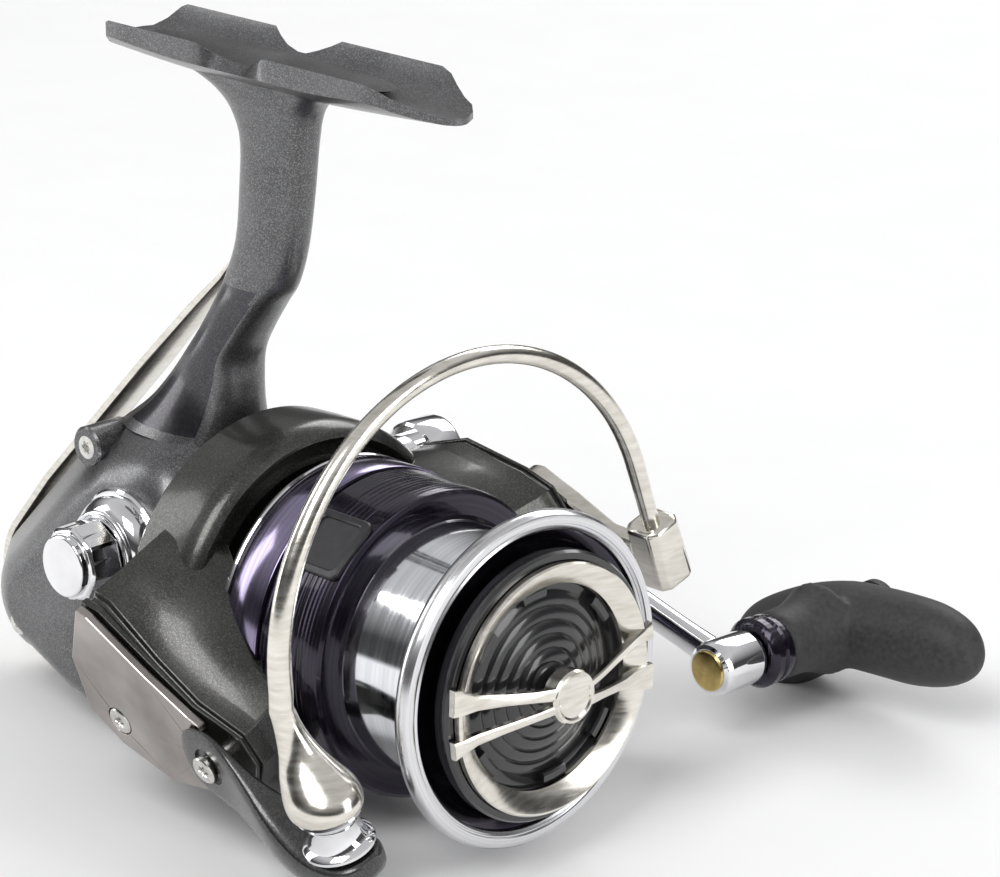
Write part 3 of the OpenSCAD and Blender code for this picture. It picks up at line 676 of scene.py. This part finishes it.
def arm_rings():
    inner = [(-5.8, -6.5), (-5.8, 9.5), (-1.4, 20.5), (1.4, 20.2), (9.4, 14.6), (15.4, 9.0),
             (22.6, 5.0), (24.4, 0), (22.4, -4.8), (18.3, -6.6), (7.6, -9.6), (-2.5, -9)]
    levels = [(0.0, 0.0, 0.35), (0.0, 0.0, 0.0), (0.06, 0.0, 0.0), (0.08, 0.0, 0.5),
              (0.12, 0.02, 0.5), (0.14, 0.03, 0.0), (0.42, 0.22, 0.0), (0.46, 0.34, 0.0),
              (1.0, 1.0, 0.0)]
    rings = []
    for k, (s, grow, cut) in enumerate(levels):
        shape = [(lerp(a[0], b[0], grow), lerp(a[1], b[1], grow))
                 for a, b in zip(ARM_OUTLINE, inner)]
        shape = inset(shape, cut)
        ring = []
        for x, v in shape:
            u_in = math.sqrt(max(22.4 ** 2 - v * v, 64.0)) if x > 5.7 else math.sqrt(
                max(21.9 ** 2 - v * v, 64.0))
            ring.append((x, -lerp(ARM_U - (0.25 if k == 0 else 0.0), u_in, s), v))
        rings.append(ring)
    return rings


def build_rotor():
    rim = [(21.9, -6), (23.9, -6), (24.4, -5.3), (24.6, -2), (24.7, 2.6), (24.5, 4.4),
           (23.9, 5.5), (23.1, 6.1), (22.7, 6.1), (22.3, 5.5), (21.7, 4.6), (20.6, 4.3),
           (20.4, 5.3), (19.7, 5.5), (19.3, 5.2), (19.1, 4.2), (12.4, 4.2), (12.2, 5.0),
           (10.4, 5.0), (10.2, 4.4), (7.2, 4.4), (7.0, 5.6), (3.05, 5.6), (3.05, 3.6), (21.9, 3.6)]
    add_piece("rotor_rim", "rotor", "rotor_charcoal", *turned(rim, 160), place=rotor_frame,
              replaces=("rotor",), smooth=32)
    for name, place in (("near_arm", rotor_frame), ("far_arm", far_frame)):
        arm = add_piece(name, "rotor", "rotor_charcoal", *loft(arm_rings()), place=place,
                        replaces=("rotor",), smooth=32)
        hole, faces = turned([(0, -40), (4.1, -40), (4.1, -ARM_U + 0.2), (0, -ARM_U + 0.2)],
                             48, "y")
        carve(arm, [(x + PIVOT_X, y, z) for x, y, z in hole], faces, place)
        add_bevel(arm, 0.35)
        shade(arm, 32)


# ---- Bail ----

ARCH_X, ARCH_U, ARCH_V, ARCH_R = 36.5, 1.2, 9.0, 32.4
ROLLER_X = JOINTS["line_roller_spin"]["pos_m"][0] / MM
ROLLER_U = -32.5


def build_bail_wire():
    boot = [  # x, u, v, half size along x, half size across
        (41.3, -32.5, 1.45, 4.7, 4.4), (41.3, -32.5, 1.9, 5.1, 4.8), (41.2, -32.5, 3.0, 5.2, 4.9),
        (40.7, -32.4, 4.4, 4.9, 4.6), (39.3, -32.1, 6.4, 3.9, 3.6), (37.9, -31.6, 8.8, 2.7, 2.5),
        (37.0, -31.3, 11.6, 1.95, 1.85), (36.6, -31.15, 14.6, 1.65, 1.6)]
    rings = []
    for x, u, v, ra, rb in smooth_table(boot, 3):
        rings.append([(x + ra * math.cos(t), u + rb * math.sin(t), v)
                      for t in (2 * math.pi * j / 32 for j in range(32))])
    steps = 64
    start = math.degrees(math.asin((16.4 - ARCH_V) / ARCH_R))
    for i in range(steps + 1):
        a = math.radians(180 - start - (180 - start) * i / steps)
        r = table_at([(0, 1.6), (0.45, 1.18), (1, 1.3)], i / steps)[0]
        cu, cv = ARCH_U + ARCH_R * math.cos(a), ARCH_V + ARCH_R * math.sin(a)
        rings.append([(ARCH_X + r * math.cos(t), cu + r * math.sin(t) * -math.cos(a),
                       cv + r * math.sin(t) * -math.sin(a))
                      for t in (2 * math.pi * j / 32 for j in range(32))])
    for v in (4.0, -3.0):
        rings.append([(ARCH_X + 1.2 * math.cos(t), ARCH_U + ARCH_R - 1.2 * math.sin(t), v)
                      for t in (2 * math.pi * j / 32 for j in range(32))])
    add_piece("bail_arch", "bail", "champagne_metal", *loft(rings), place=rotor_frame,
              replaces=("bail_wire", "bail_cone"), smooth=40)


def build_lever():
    rows = [  # x, top, bottom, outer u, inner u
        (13.2, 1.6, -2.0, -32.4, -31.8), (14.6, 4.2, -4.4, -32.6, -31.8),
        (18.5, 5.4, -5.8, -32.9, -31.8), (22.5, 4.1, -7.0, -33.5, -31.8),
        (27.0, 1.4, -8.4, -34.8, -31.6), (31.0, -1.4, -9.3, -36.1, -30.4),
        (35.0, -3.3, -9.8, -37.0, -29.0), (39.0, -4.6, -9.9, -37.4, -27.9),
        (43.0, -4.8, -9.7, -37.2, -28.0), (45.6, -4.9, -8.8, -35.9, -29.2),
        (46.6, -5.2, -7.4, -34.2, -30.8)]
    rings = []
    for x, top, low, out, inn in smooth_table(rows, 3):
        mid_u, mid_v = (out + inn) / 2, (top + low) / 2
        a, b = (inn - out) / 2, (top - low) / 2
        ring = []
        for j in range(28):
            t = 2 * math.pi * j / 28
            c, s = math.cos(t), math.sin(t)
            uu = abs(c) ** 0.6 * (1 if c > 0 else -1)
            vv = abs(s) ** (0.45 if s > 0 else 0.8) * (1 if s > 0 else -1)
            ring.append((x, mid_u + a * uu, mid_v + b * vv))
        rings.append(ring)
    lever = add_piece("lever_arm", "bail", "lever_dark", *loft(rings), place=rotor_frame,
                      replaces=("bail_lever",), smooth=30)
    for r, y0, y1 in ((2.7, -60, -32.35), (1.5, -40, -20)):
        hole, faces = turned([(0, y0), (r, y0), (r, y1), (0, y1)], 64, "y")
        carve(lever, [(x + PIVOT_X, y, z) for x, y, z in hole], faces, rotor_frame)
    pin, faces = turned([(0, -20), (1.35, -20), (1.35, 10), (0, 10)], 32, "z")
    carve(lever, [(x + ROLLER_X, y + ROLLER_U, z) for x, y, z in pin], faces, rotor_frame)
    shade(lever, 30)


def build_roller():
    profile = [(2.55, -4.4), (4.5, -4.4), (4.75, -4.2), (4.75, -3.8), (4.5, -3.5), (3.9, -3.2),
               (3.55, -2.6), (3.45, -1.4), (3.6, -0.2), (4.1, 0.6), (4.35, 1.0), (4.2, 1.2),
               (2.55, 1.2)]
    verts, faces = turned(profile, 96, "z")
    add_piece("roller_wheel", "line_roller", "polished_chrome",
              [(x + ROLLER_X, y + ROLLER_U, z) for x, y, z in verts], faces,
              place=rotor_frame, replaces=("line_roller",), smooth=30)


def build_far_holder():
    """The block on the far side that the wire goes into, with its lever."""
    side = [(3.1, 1.9), (1.9, 3.1), (-1.9, 3.1), (-3.1, 1.9), (-3.1, -1.9), (-1.9, -3.1),
            (1.9, -3.1), (3.1, -1.9)]
    rings = []
    for v, k in ((0.2, 0.78), (-0.3, 0.96), (-8.6, 1.0), (-9.3, 0.9), (-9.6, 0.7)):
        rings.append([(ARCH_X + a * k, ARCH_U + ARCH_R + b * k, v) for a, b in side])
    add_piece("holder_block", "bail", "champagne_metal", *loft(rings), place=rotor_frame,
              replaces=("bail_holder",), bevel=0.3, smooth=30)
    outline = (arc(PIVOT_X, 0, 4.6, 90, 262, 20)
               + [(26, -6.6), (30, -8.2), (35, -9.2), (35, -1.8), (30, -1.6), (24, 1.8)])
    rings = [[(x, u, v) for x, v in inset(outline, t)] for u, t in
             ((ARM_U + 0.4, 0.3), (ARM_U + 0.7, 0.0), (ARM_U + 2.6, 0.0), (ARM_U + 3.0, 0.4))]
    lever = add_piece("holder_lever", "bail", "champagne_metal", *loft(rings),
                      place=rotor_frame, replaces=("bail_holder",), smooth=30)
    hole, faces = turned([(0, 20), (1.5, 20), (1.5, 60), (0, 60)], 48, "y")
    carve(lever, [(x + PIVOT_X, y, z) for x, y, z in hole], faces, rotor_frame)
    shade(lever, 30)


# ---- Spool and drag knob ----

def build_spool():
    profile = [(2.1, 17), (4.4, 17), (4.4, 27), (19.4, 27), (19.4, 9.8), (20.9, 9.8), (21, 10),
               (21, 16.7), (20.7, 16.8), (20.7, 17.2), (21, 17.3)]
    for x in (20.6, 21.5, 22.4, 23.3, 24.2, 25.1):
        profile += [(21, x - 0.12), (20.86, x), (21, x + 0.12)]
    profile += [(21, 27.2), (20.8, 27.9), (20.3, 28.3), (19.6, 28.45), (17.6, 28.5),
                (17.05, 28.8), (17, 29.3), (17, 42.0), (17.5, 42.7), (19.3, 43.4), (19.85, 44.4),
                (19.85, 45.4), (18.6, 45.0), (18.4, 44.6), (15.4, 43.4), (14.6, 43), (14.6, 30),
                (2.1, 30)]
    spool = add_piece("spool_shell", "spool", "violet_anodised", *turned(profile, 192),
                      place=on_axis, replaces=("spool_body",), smooth=25)
    spool.data.materials.append(MATS["arbor_chrome"])
    for poly in spool.data.polygons:
        c = poly.center / MM
        r = math.hypot(c.y, c.z - AXIS_Z)
        if 28.7 < c.x < 42.4 and 16.5 < r < 17.3:
            poly.material_index = 1
    lip = ([(19.9, 44.0), (21.5, 43.9), (22.1, 44.1), (22.45, 44.7), (22.5, 45.2), (22.4, 45.8),
            (22.0, 46.3), (21.3, 46.5), (20.9, 46.42), (20.75, 46.1), (20.6, 46.1),
            (20.3, 46.3), (20.0, 46.1), (19.9, 45.6)])
    add_piece("lip_ring", "spool", "satin_silver", *turned(lip, 192), place=on_axis,
              replaces=("spool_lip",), smooth=30)
    band = [(21, 10.5), (21.2, 10.5), (21.3, 10.7), (21.3, 16.4), (21.2, 16.6), (21, 16.6)]
    add_piece("rear_band", "spool", "lilac_metal", *turned(band, 192), place=on_axis,
              replaces=("spool_band",), smooth=30)
    ring = [(19.3, 9.0), (21.1, 9.0), (21.3, 9.2), (21.35, 9.6), (21.2, 9.85), (19.3, 9.85)]
    add_piece("rear_ring", "spool", "polished_chrome", *turned(ring, 192), place=on_axis,
              replaces=("spool_rear_ring",), smooth=30)


def build_clip():
    """The line clip: a thin plate on the skirt with a raised rim and a slot along its edge."""
    def wrapped(x, y, d):
        a = math.radians(130) + y / 21.0
        r = 21.0 + d
        return x, r * math.cos(a), AXIS_Z + r * math.sin(a)

    def plate(half_x, half_y, x0, corner):
        pts = []
        for cx, cy, a0 in ((half_x, half_y, 0), (-half_x, half_y, 90), (-half_x, -half_y, 180),
                           (half_x, -half_y, 270)):
            sx, sy = math.copysign(half_x - corner, cx), math.copysign(half_y - corner, cy)
            pts += [(x0 + a, b) for a, b in arc(sx, sy, corner, a0, a0 + 90, 5)]
        return pts
    outer = plate(4.8, 4.5, 22.8, 1.2)
    inner = plate(3.7, 3.4, 22.8, 0.9)
    rings = [[(x, y, d) for x, y in shape] for shape, d in
             ((outer, 0.0), (outer, 0.55), (plate(4.6, 4.3, 22.8, 1.1), 0.7),
              (plate(3.9, 3.6, 22.8, 0.9), 0.7), (inner, 0.5), (inner, 0.25))]
    add_piece("clip_plate", "spool", "black_plastic", *loft(rings), place=wrapped,
              replaces=("line_clip",), smooth=30)


def build_drag_knob():
    profile = [(2.3, 38.2), (13.3, 38.2), (13.3, 42.6), (14.2, 46.4), (17.4, 46.4), (17.9, 46.9),
               (18.0, 47.6), (18.0, 48.7), (17.7, 49.1), (16.9, 49.2), (16.7, 48.8),
               (13.7, 48.1), (13.5, 47.2), (12.9, 47.1)]
    for i in range(6):
        r = 12.0 - 1.75 * i
        x = 47.4 + 0.42 * i
        profile += [(r, x), (r - 0.3, x + 0.2), (r - 1.3, x + 0.32), (r - 1.55, x + 0.2)]
    profile += [(0.0, 50.2), (0.0, 48.9), (2.3, 48.9)]
    knob = add_piece("drag_dish", "drag_knob", "black_gloss", *turned(profile, 160),
                     place=on_axis, replaces=("drag_knob",), smooth=30)
    hollow, faces = turned([(0, 38), (4.95, 38), (4.95, 41.5), (5.25, 41.5), (5.25, 45.4),
                            (0, 45.4)], 64)
    carve(knob, hollow, faces, on_axis)
    shade(knob, 30)
    for i, mid in enumerate((38, 98, 142, 218, 278, 322)):
        rings = []
        for k in range(9):
            a = math.radians(mid - 9 + 18 * k / 8)
            rings.append([(x, r * math.cos(a), r * math.sin(a))
                          for x, r in ((47.0, 13.5), (48.3, 13.5), (48.5, 13.2), (48.5, 12.4),
                                       (48.3, 12.1), (47.0, 12.1))])
        add_piece(f"dish_tab_{i}", "drag_knob", "black_gloss", *loft(rings), place=on_axis,
                  smooth=30)


def trim_x(r):
    """Front face of the trim's bars at a distance from the axis."""
    return table_at([(0, 54.0), (3.4, 53.9), (8.0, 52.6), (13.6, 50.9), (18.0, 50.5)], r)[0]


def bar_piece(name, outline, thick=1.0):
    """A bar of the trim from an outline of (y, z) pairs along it, left edge then right edge."""
    half = len(outline) // 2
    edge_a, edge_b = outline[:half], outline[half:][::-1]
    rings = []
    for (ya, za), (yb, zb) in zip(edge_a, edge_b):
        xa, xb = trim_x(math.hypot(ya, za)), trim_x(math.hypot(yb, zb))
        rings.append([(xa - thick, ya, za), (xa - 0.15, ya, za),
                      (xa, lerp(ya, yb, 0.18), lerp(za, zb, 0.18)),
                      (xb, lerp(ya, yb, 0.82), lerp(za, zb, 0.82)), (xb - 0.15, yb, zb),
                      (xb - thick, yb, zb)])
    add_piece(name, "drag_knob", "champagne_metal", *loft(rings), place=on_axis,
              replaces=("drag_trim",), smooth=25)


def build_trim():
    ring = [(13.75, 48.2), (13.75, 48.9), (14.0, 49.1), (16.3, 50.4), (16.6, 50.45),
            (16.8, 50.2), (16.8, 49.4), (16.2, 49.0)]
    add_piece("trim_ring", "drag_knob", "champagne_metal", *turned(ring, 160), place=on_axis,
              replaces=("drag_trim",), smooth=28)
    hub = [(0.0, 51.5), (3.5, 51.5), (3.6, 53.5), (3.4, 53.9), (3.0, 54.0), (2.7, 53.8),
           (0.0, 53.8)]
    add_piece("trim_hub", "drag_knob", "champagne_metal", *turned(hub, 96), place=on_axis,
              replaces=("drag_trim",), smooth=28)
    for side, label in ((-1, "left"), (1, "right")):
        upper = [(2.6, 1.9), (6, 2.1), (10, 2.6), (14, 3.4), (16.6, 4.6), (17.7, 4.8),
                 (17.9, 1.3), (16.4, 1.2), (14, 1.3), (10, 1.1), (6, 0.7), (2.6, 0.25)]
        lower = [(2.6, -0.25), (6, -0.8), (10, -1.4), (14, -1.9), (16.4, -2.2), (17.8, -2.2),
                 (17.5, -4.6), (16.4, -4.2), (14, -3.4), (10, -2.6), (6, -1.9), (2.6, -1.4)]
        for part, shape in (("upper", upper), ("lower", lower)):
            bar_piece(f"trim_{label}_{part}", [(side * y, z * (1 if side < 0 else -1))
                                               for y, z in shape])


# ---- Handle ----

HUB_Y = 38.0


def build_handle():
    """The slim arm from its hub to the barrel, and the barrel itself."""
    rows = [(0.0, 41.4, 3.0, 2.5), (4.0, 41.6, 2.9, 2.4), (9.0, 42.2, 2.7, 2.1),
            (20.0, 43.6, 2.4, 1.9), (34.0, 45.3, 2.2, 1.75), (46.0, 46.8, 2.0, 1.65),
            (53.0, 47.7, 2.1, 1.8), (56.5, 48.2, 2.3, 2.0)]
    rings = []
    for x, y, half_z, half_y in smooth_table(rows, 3):
        rings.append([(x, y + half_y * abs(math.sin(t)) ** 0.75 * math.copysign(1, math.sin(t)),
                       half_z * abs(math.cos(t)) ** 0.75 * math.copysign(1, math.cos(t)))
                      for t in (2 * math.pi * j / 28 for j in range(28))])
    add_piece("crank_arm", "handle", "polished_chrome", *loft(rings), place=arm_frame,
              replaces=("handle_arm",), smooth=40)
    hub = [(r, HUB_Y + y) for r, y in
           ((1.62, 0), (4.9, 0), (5.3, 0.3), (5.4, 0.8), (5.4, 5.2), (5.2, 5.8), (4.8, 6),
            (1.62, 6))]
    add_piece("crank_hub", "handle", "polished_chrome", *turned(hub, 96, "y"),
              place=arm_frame, replaces=("handle_arm",), smooth=30)
    shank = [(0, -9), (1.86, -9), (1.86, 15), (4.6, 15), (4.7, 16), (4.1, 18), (3.9, HUB_Y),
             (0, HUB_Y)]
    add_piece("crank_shank", "handle", "polished_chrome", *turned(shank, 96, "y"),
              place=arm_frame, replaces=("handle_shank",), smooth=30)
    barrel = [(1.96, 44.2), (3.1, 44.2), (3.6, 44.5), (3.85, 45.1), (3.9, 46.0), (3.9, 51.4),
              (3.75, 52.1), (3.4, 52.5), (1.96, 52.5)]
    add_piece("crank_barrel", "handle", "polished_chrome", *turned(barrel, 96, "y"),
              place=knob_frame, replaces=("handle_arm",), smooth=30)
    disc = [(0.0, 43.85), (2.3, 43.8), (2.75, 43.9), (2.9, 44.1), (2.9, 44.2), (0.0, 44.2)]
    add_piece("gold_end", "handle", "gold_disc", *turned(disc, 64, "y"), place=knob_frame,
              replaces=("axle_end_disc",), smooth=30)
    collar = [(2.05, 52.8), (4.3, 52.8), (4.6, 53.0), (5.0, 53.6), (5.0, 54.6), (4.55, 54.9),
              (4.55, 55.3), (4.9, 55.6), (4.9, 56.4), (4.7, 56.95), (2.05, 56.95)]
    add_piece("collar_ring", "knob", "violet_anodised", *turned(collar, 96, "y"),
              place=knob_frame, replaces=("knob_collar",), smooth=30)


def build_knob():
    """The rubber grip: a flattened cross bar blended into a round neck."""
    tilt = math.radians(17)
    c, s = math.cos(tilt), math.sin(tilt)

    def bar(x, y, z):
        return knob_frame(x * c - z * s, y, x * s + z * c)
    rows = [  # along the bar, middle y, half y, middle z, half z
        (-19.6, 71.6, 2.0, -3.4, 2.4), (-18.4, 71.6, 3.8, -3.3, 4.6), (-15.6, 71.7, 5.0, -3.0, 6.3),
        (-11.0, 72.0, 6.0, -2.4, 7.0), (-5.0, 72.3, 7.2, -1.2, 6.6), (1.0, 72.4, 7.4, -0.8, 6.1),
        (7.0, 72.2, 6.7, -1.9, 6.3), (13.0, 71.9, 5.8, -3.2, 6.5), (18.6, 71.7, 4.9, -4.1, 5.9),
        (22.6, 71.6, 3.6, -4.8, 4.3), (24.4, 71.6, 1.8, -5.2, 2.2)]
    rings = []
    for x, ym, yh, zm, zh in smooth_table(rows, 4):
        rings.append([(x, ym + yh * math.cos(t), zm + zh * math.sin(t))
                      for t in (2 * math.pi * j / 40 for j in range(40))])
    grip = add_piece("knob_bar", "knob", "knob_rubber", *loft(rings), place=bar,
                     replaces=("knob_grip",), smooth=60)
    neck = [(0.0, 57.0), (4.6, 57.0), (4.9, 57.4), (4.9, 60.0), (5.1, 62.4), (5.9, 65.0),
            (7.0, 67.4), (0.0, 70.0)]
    carve(grip, *turned(neck, 96, "y"), knob_frame, "UNION")
    remesh = grip.modifiers.new("remesh", "REMESH")
    remesh.mode = "VOXEL"
    remesh.voxel_size = 0.5 * MM
    soften = grip.modifiers.new("smooth", "SMOOTH")
    soften.factor = 0.5
    soften.iterations = 14
    apply_modifiers(grip)
    hollow = [(0.0, 50.0), (3.52, 50.0), (3.52, 72.0), (3.0, 72.0), (3.0, 78.0), (4.0, 78.6),
              (4.0, 90.0), (0.0, 90.0)]
    carve(grip, *turned(hollow, 64, "y"), knob_frame)
    shade(grip, 50)


# ---- Stage, lights and camera ----

def aim(obj, target):
    direction = Vector(target) - obj.location
    obj.rotation_euler = direction.to_track_quat("-Z", "Y").to_euler()


def add_area(name, place, target, size, power, color=(1, 1, 1)):
    data = bpy.data.lights.new(name, "AREA")
    data.shape = "RECTANGLE"
    data.size, data.size_y = size
    data.energy = power
    data.color = color
    obj = bpy.data.objects.new(name, data)
    obj.location = place
    bpy.context.scene.collection.objects.link(obj)
    aim(obj, target)


def build_floor(low):
    mesh = bpy.data.meshes.new("floor")
    half = 4.0
    mesh.from_pydata([(-half, -half, low), (half, -half, low), (half, half, low),
                      (-half, half, low)], [], [(0, 1, 2, 3)])
    floor = bpy.data.objects.new("floor", mesh)
    bpy.context.scene.collection.objects.link(floor)
    mat, tree, bsdf = new_material("floor_paper")
    fac = noise_on(tree, object_coords(tree), 60)
    link(tree, spread(tree, fac, 0.2, 0.8, (0.93, 0.93, 0.93), (0.95, 0.95, 0.95)),
         bsdf.inputs["Base Color"])
    bsdf.inputs["Roughness"].default_value = 0.9
    bsdf.inputs["Specular IOR Level"].default_value = 0.1
    mesh.materials.append(mat)


def build_world():
    """A soft studio: bright above, a dark belt at the horizon and pale below."""
    world = bpy.data.worlds.new("studio")
    bpy.context.scene.world = world
    world.use_nodes = True
    tree = world.node_tree
    back = tree.nodes["Background"]
    coords = tree.nodes.new("ShaderNodeTexCoord")
    split = tree.nodes.new("ShaderNodeSeparateXYZ")
    link(tree, coords.outputs["Generated"], split.inputs["Vector"])
    ramp = tree.nodes.new("ShaderNodeValToRGB")
    unit = tree.nodes.new("ShaderNodeMapRange")
    unit.inputs["From Min"].default_value = -1
    link(tree, split.outputs["Z"], unit.inputs["Value"])
    link(tree, unit.outputs["Result"], ramp.inputs["Fac"])
    stops = [(0.0, 0.75), (0.46, 0.7), (0.5, 0.12), (0.62, 0.1), (0.72, 0.5), (0.84, 1.0),
             (1.0, 0.85)]
    while len(ramp.color_ramp.elements) < len(stops):
        ramp.color_ramp.elements.new(0.5)
    for element, (pos, value) in zip(ramp.color_ramp.elements, stops):
        element.position = pos
        element.color = (value, value, value * 1.01, 1)
    link(tree, ramp.outputs["Color"], back.inputs["Color"])
    back.inputs["Strength"].default_value = 0.62


def build_lights():
    mid = (0.0, 0.0, -0.06)
    add_area("key", (0.25, -0.75, 0.75), mid, (0.6, 0.6), 6)
    add_area("side", (-0.75, -0.45, 0.2), mid, (0.3, 0.8), 2.5)
    add_area("front", (0.9, 0.25, 0.25), mid, (0.35, 0.7), 3)
    add_area("back", (-0.3, 0.9, 0.6), mid, (0.8, 0.4), 4)


def build_camera():
    """The picture's view: its direction, a slight roll and its distance, in millimetres."""
    azimuth, elevation, roll = math.radians(45.9), math.radians(18.6), math.radians(-0.17)
    distance, focal = 538.0, 4216.0
    aim_x, shift_right, shift_up = 46.5, -4.3, 31.1
    back = Vector((math.sin(azimuth) * math.cos(elevation),
                   -math.cos(azimuth) * math.cos(elevation), math.sin(elevation)))
    right = Vector((math.cos(azimuth), math.sin(azimuth), 0))
    up = back.cross(right)
    place = (Vector((aim_x, 0, AXIS_Z)) + right * shift_right + up * shift_up
             + back * distance) * MM
    data = bpy.data.cameras.new("camera")
    data.sensor_width = 36.0
    data.lens = focal * data.sensor_width / 1000
    data.clip_start = 0.01
    data.clip_end = 20
    camera = bpy.data.objects.new("camera", data)
    bpy.context.scene.collection.objects.link(camera)
    turn = Matrix((right, up, back)).transposed().to_4x4()
    camera.matrix_world = Matrix.Translation(place) @ turn @ Matrix.Rotation(roll, 4, "Z")
    bpy.context.scene.camera = camera


def main():
    slots = {s["node"]: s["material_slot"] for s in frame["record"]["subparts"]}
    for name in NODES:
        polish_cad(name, slots[name], 0.3 if name == "arm_cover" else 0.0)
    build_foot()
    build_stem()
    build_housing()
    build_guard()
    build_cap()
    build_rotor()
    build_bail_wire()
    build_lever()
    build_roller()
    build_far_holder()
    build_spool()
    build_clip()
    build_drag_knob()
    build_trim()
    build_handle()
    build_knob()
    torx_screw("plate_torx", "rotor", "steel_screw", rotor_frame, (-1.2, -ARM_U - 1.5, -0.4), 4.8,
               1.95, 0.88, ("arm_cover_screw",), head=0.75)
    torx_screw("near_pivot", "rotor", "steel_screw", rotor_frame, (PIVOT_X, -ARM_U - 3.9, 0), 8,
               1.95, 1.42, ("bail_pivot_screws",), head=0.9)
    torx_screw("far_pivot", "rotor", "steel_screw", rotor_frame, (PIVOT_X, ARM_U + 3.9, 0), 8,
               1.95, 1.42, ("bail_pivot_screws",), sign=-1, head=0.9)
    torx_screw("roller_pin", "bail", "steel_screw", rotor_frame, (ROLLER_X, ROLLER_U, -10.3), 13.2,
               2.2, 1.25, ("roller_screw",), axis="z", head=0.6)
    torx_screw("guard_torx", "body", "steel_screw", on_axis, (-49.4, 0, -23.4), 3.1, 1.9, 0.98,
               ("rear_guard_screw",), axis="z", head=0.6)
    torx_screw("arm_torx", "handle", "polished_chrome", arm_frame, (0, HUB_Y + 7.2, 0), 7, 3.15,
               1.5, ("arm_screw",), sign=-1, head=1.2)
    build_floor(cad_box[0][2] - 0.0005)
    build_world()
    build_lights()
    build_camera()
    bpy.context.scene.view_settings.view_transform = "Standard"


main()
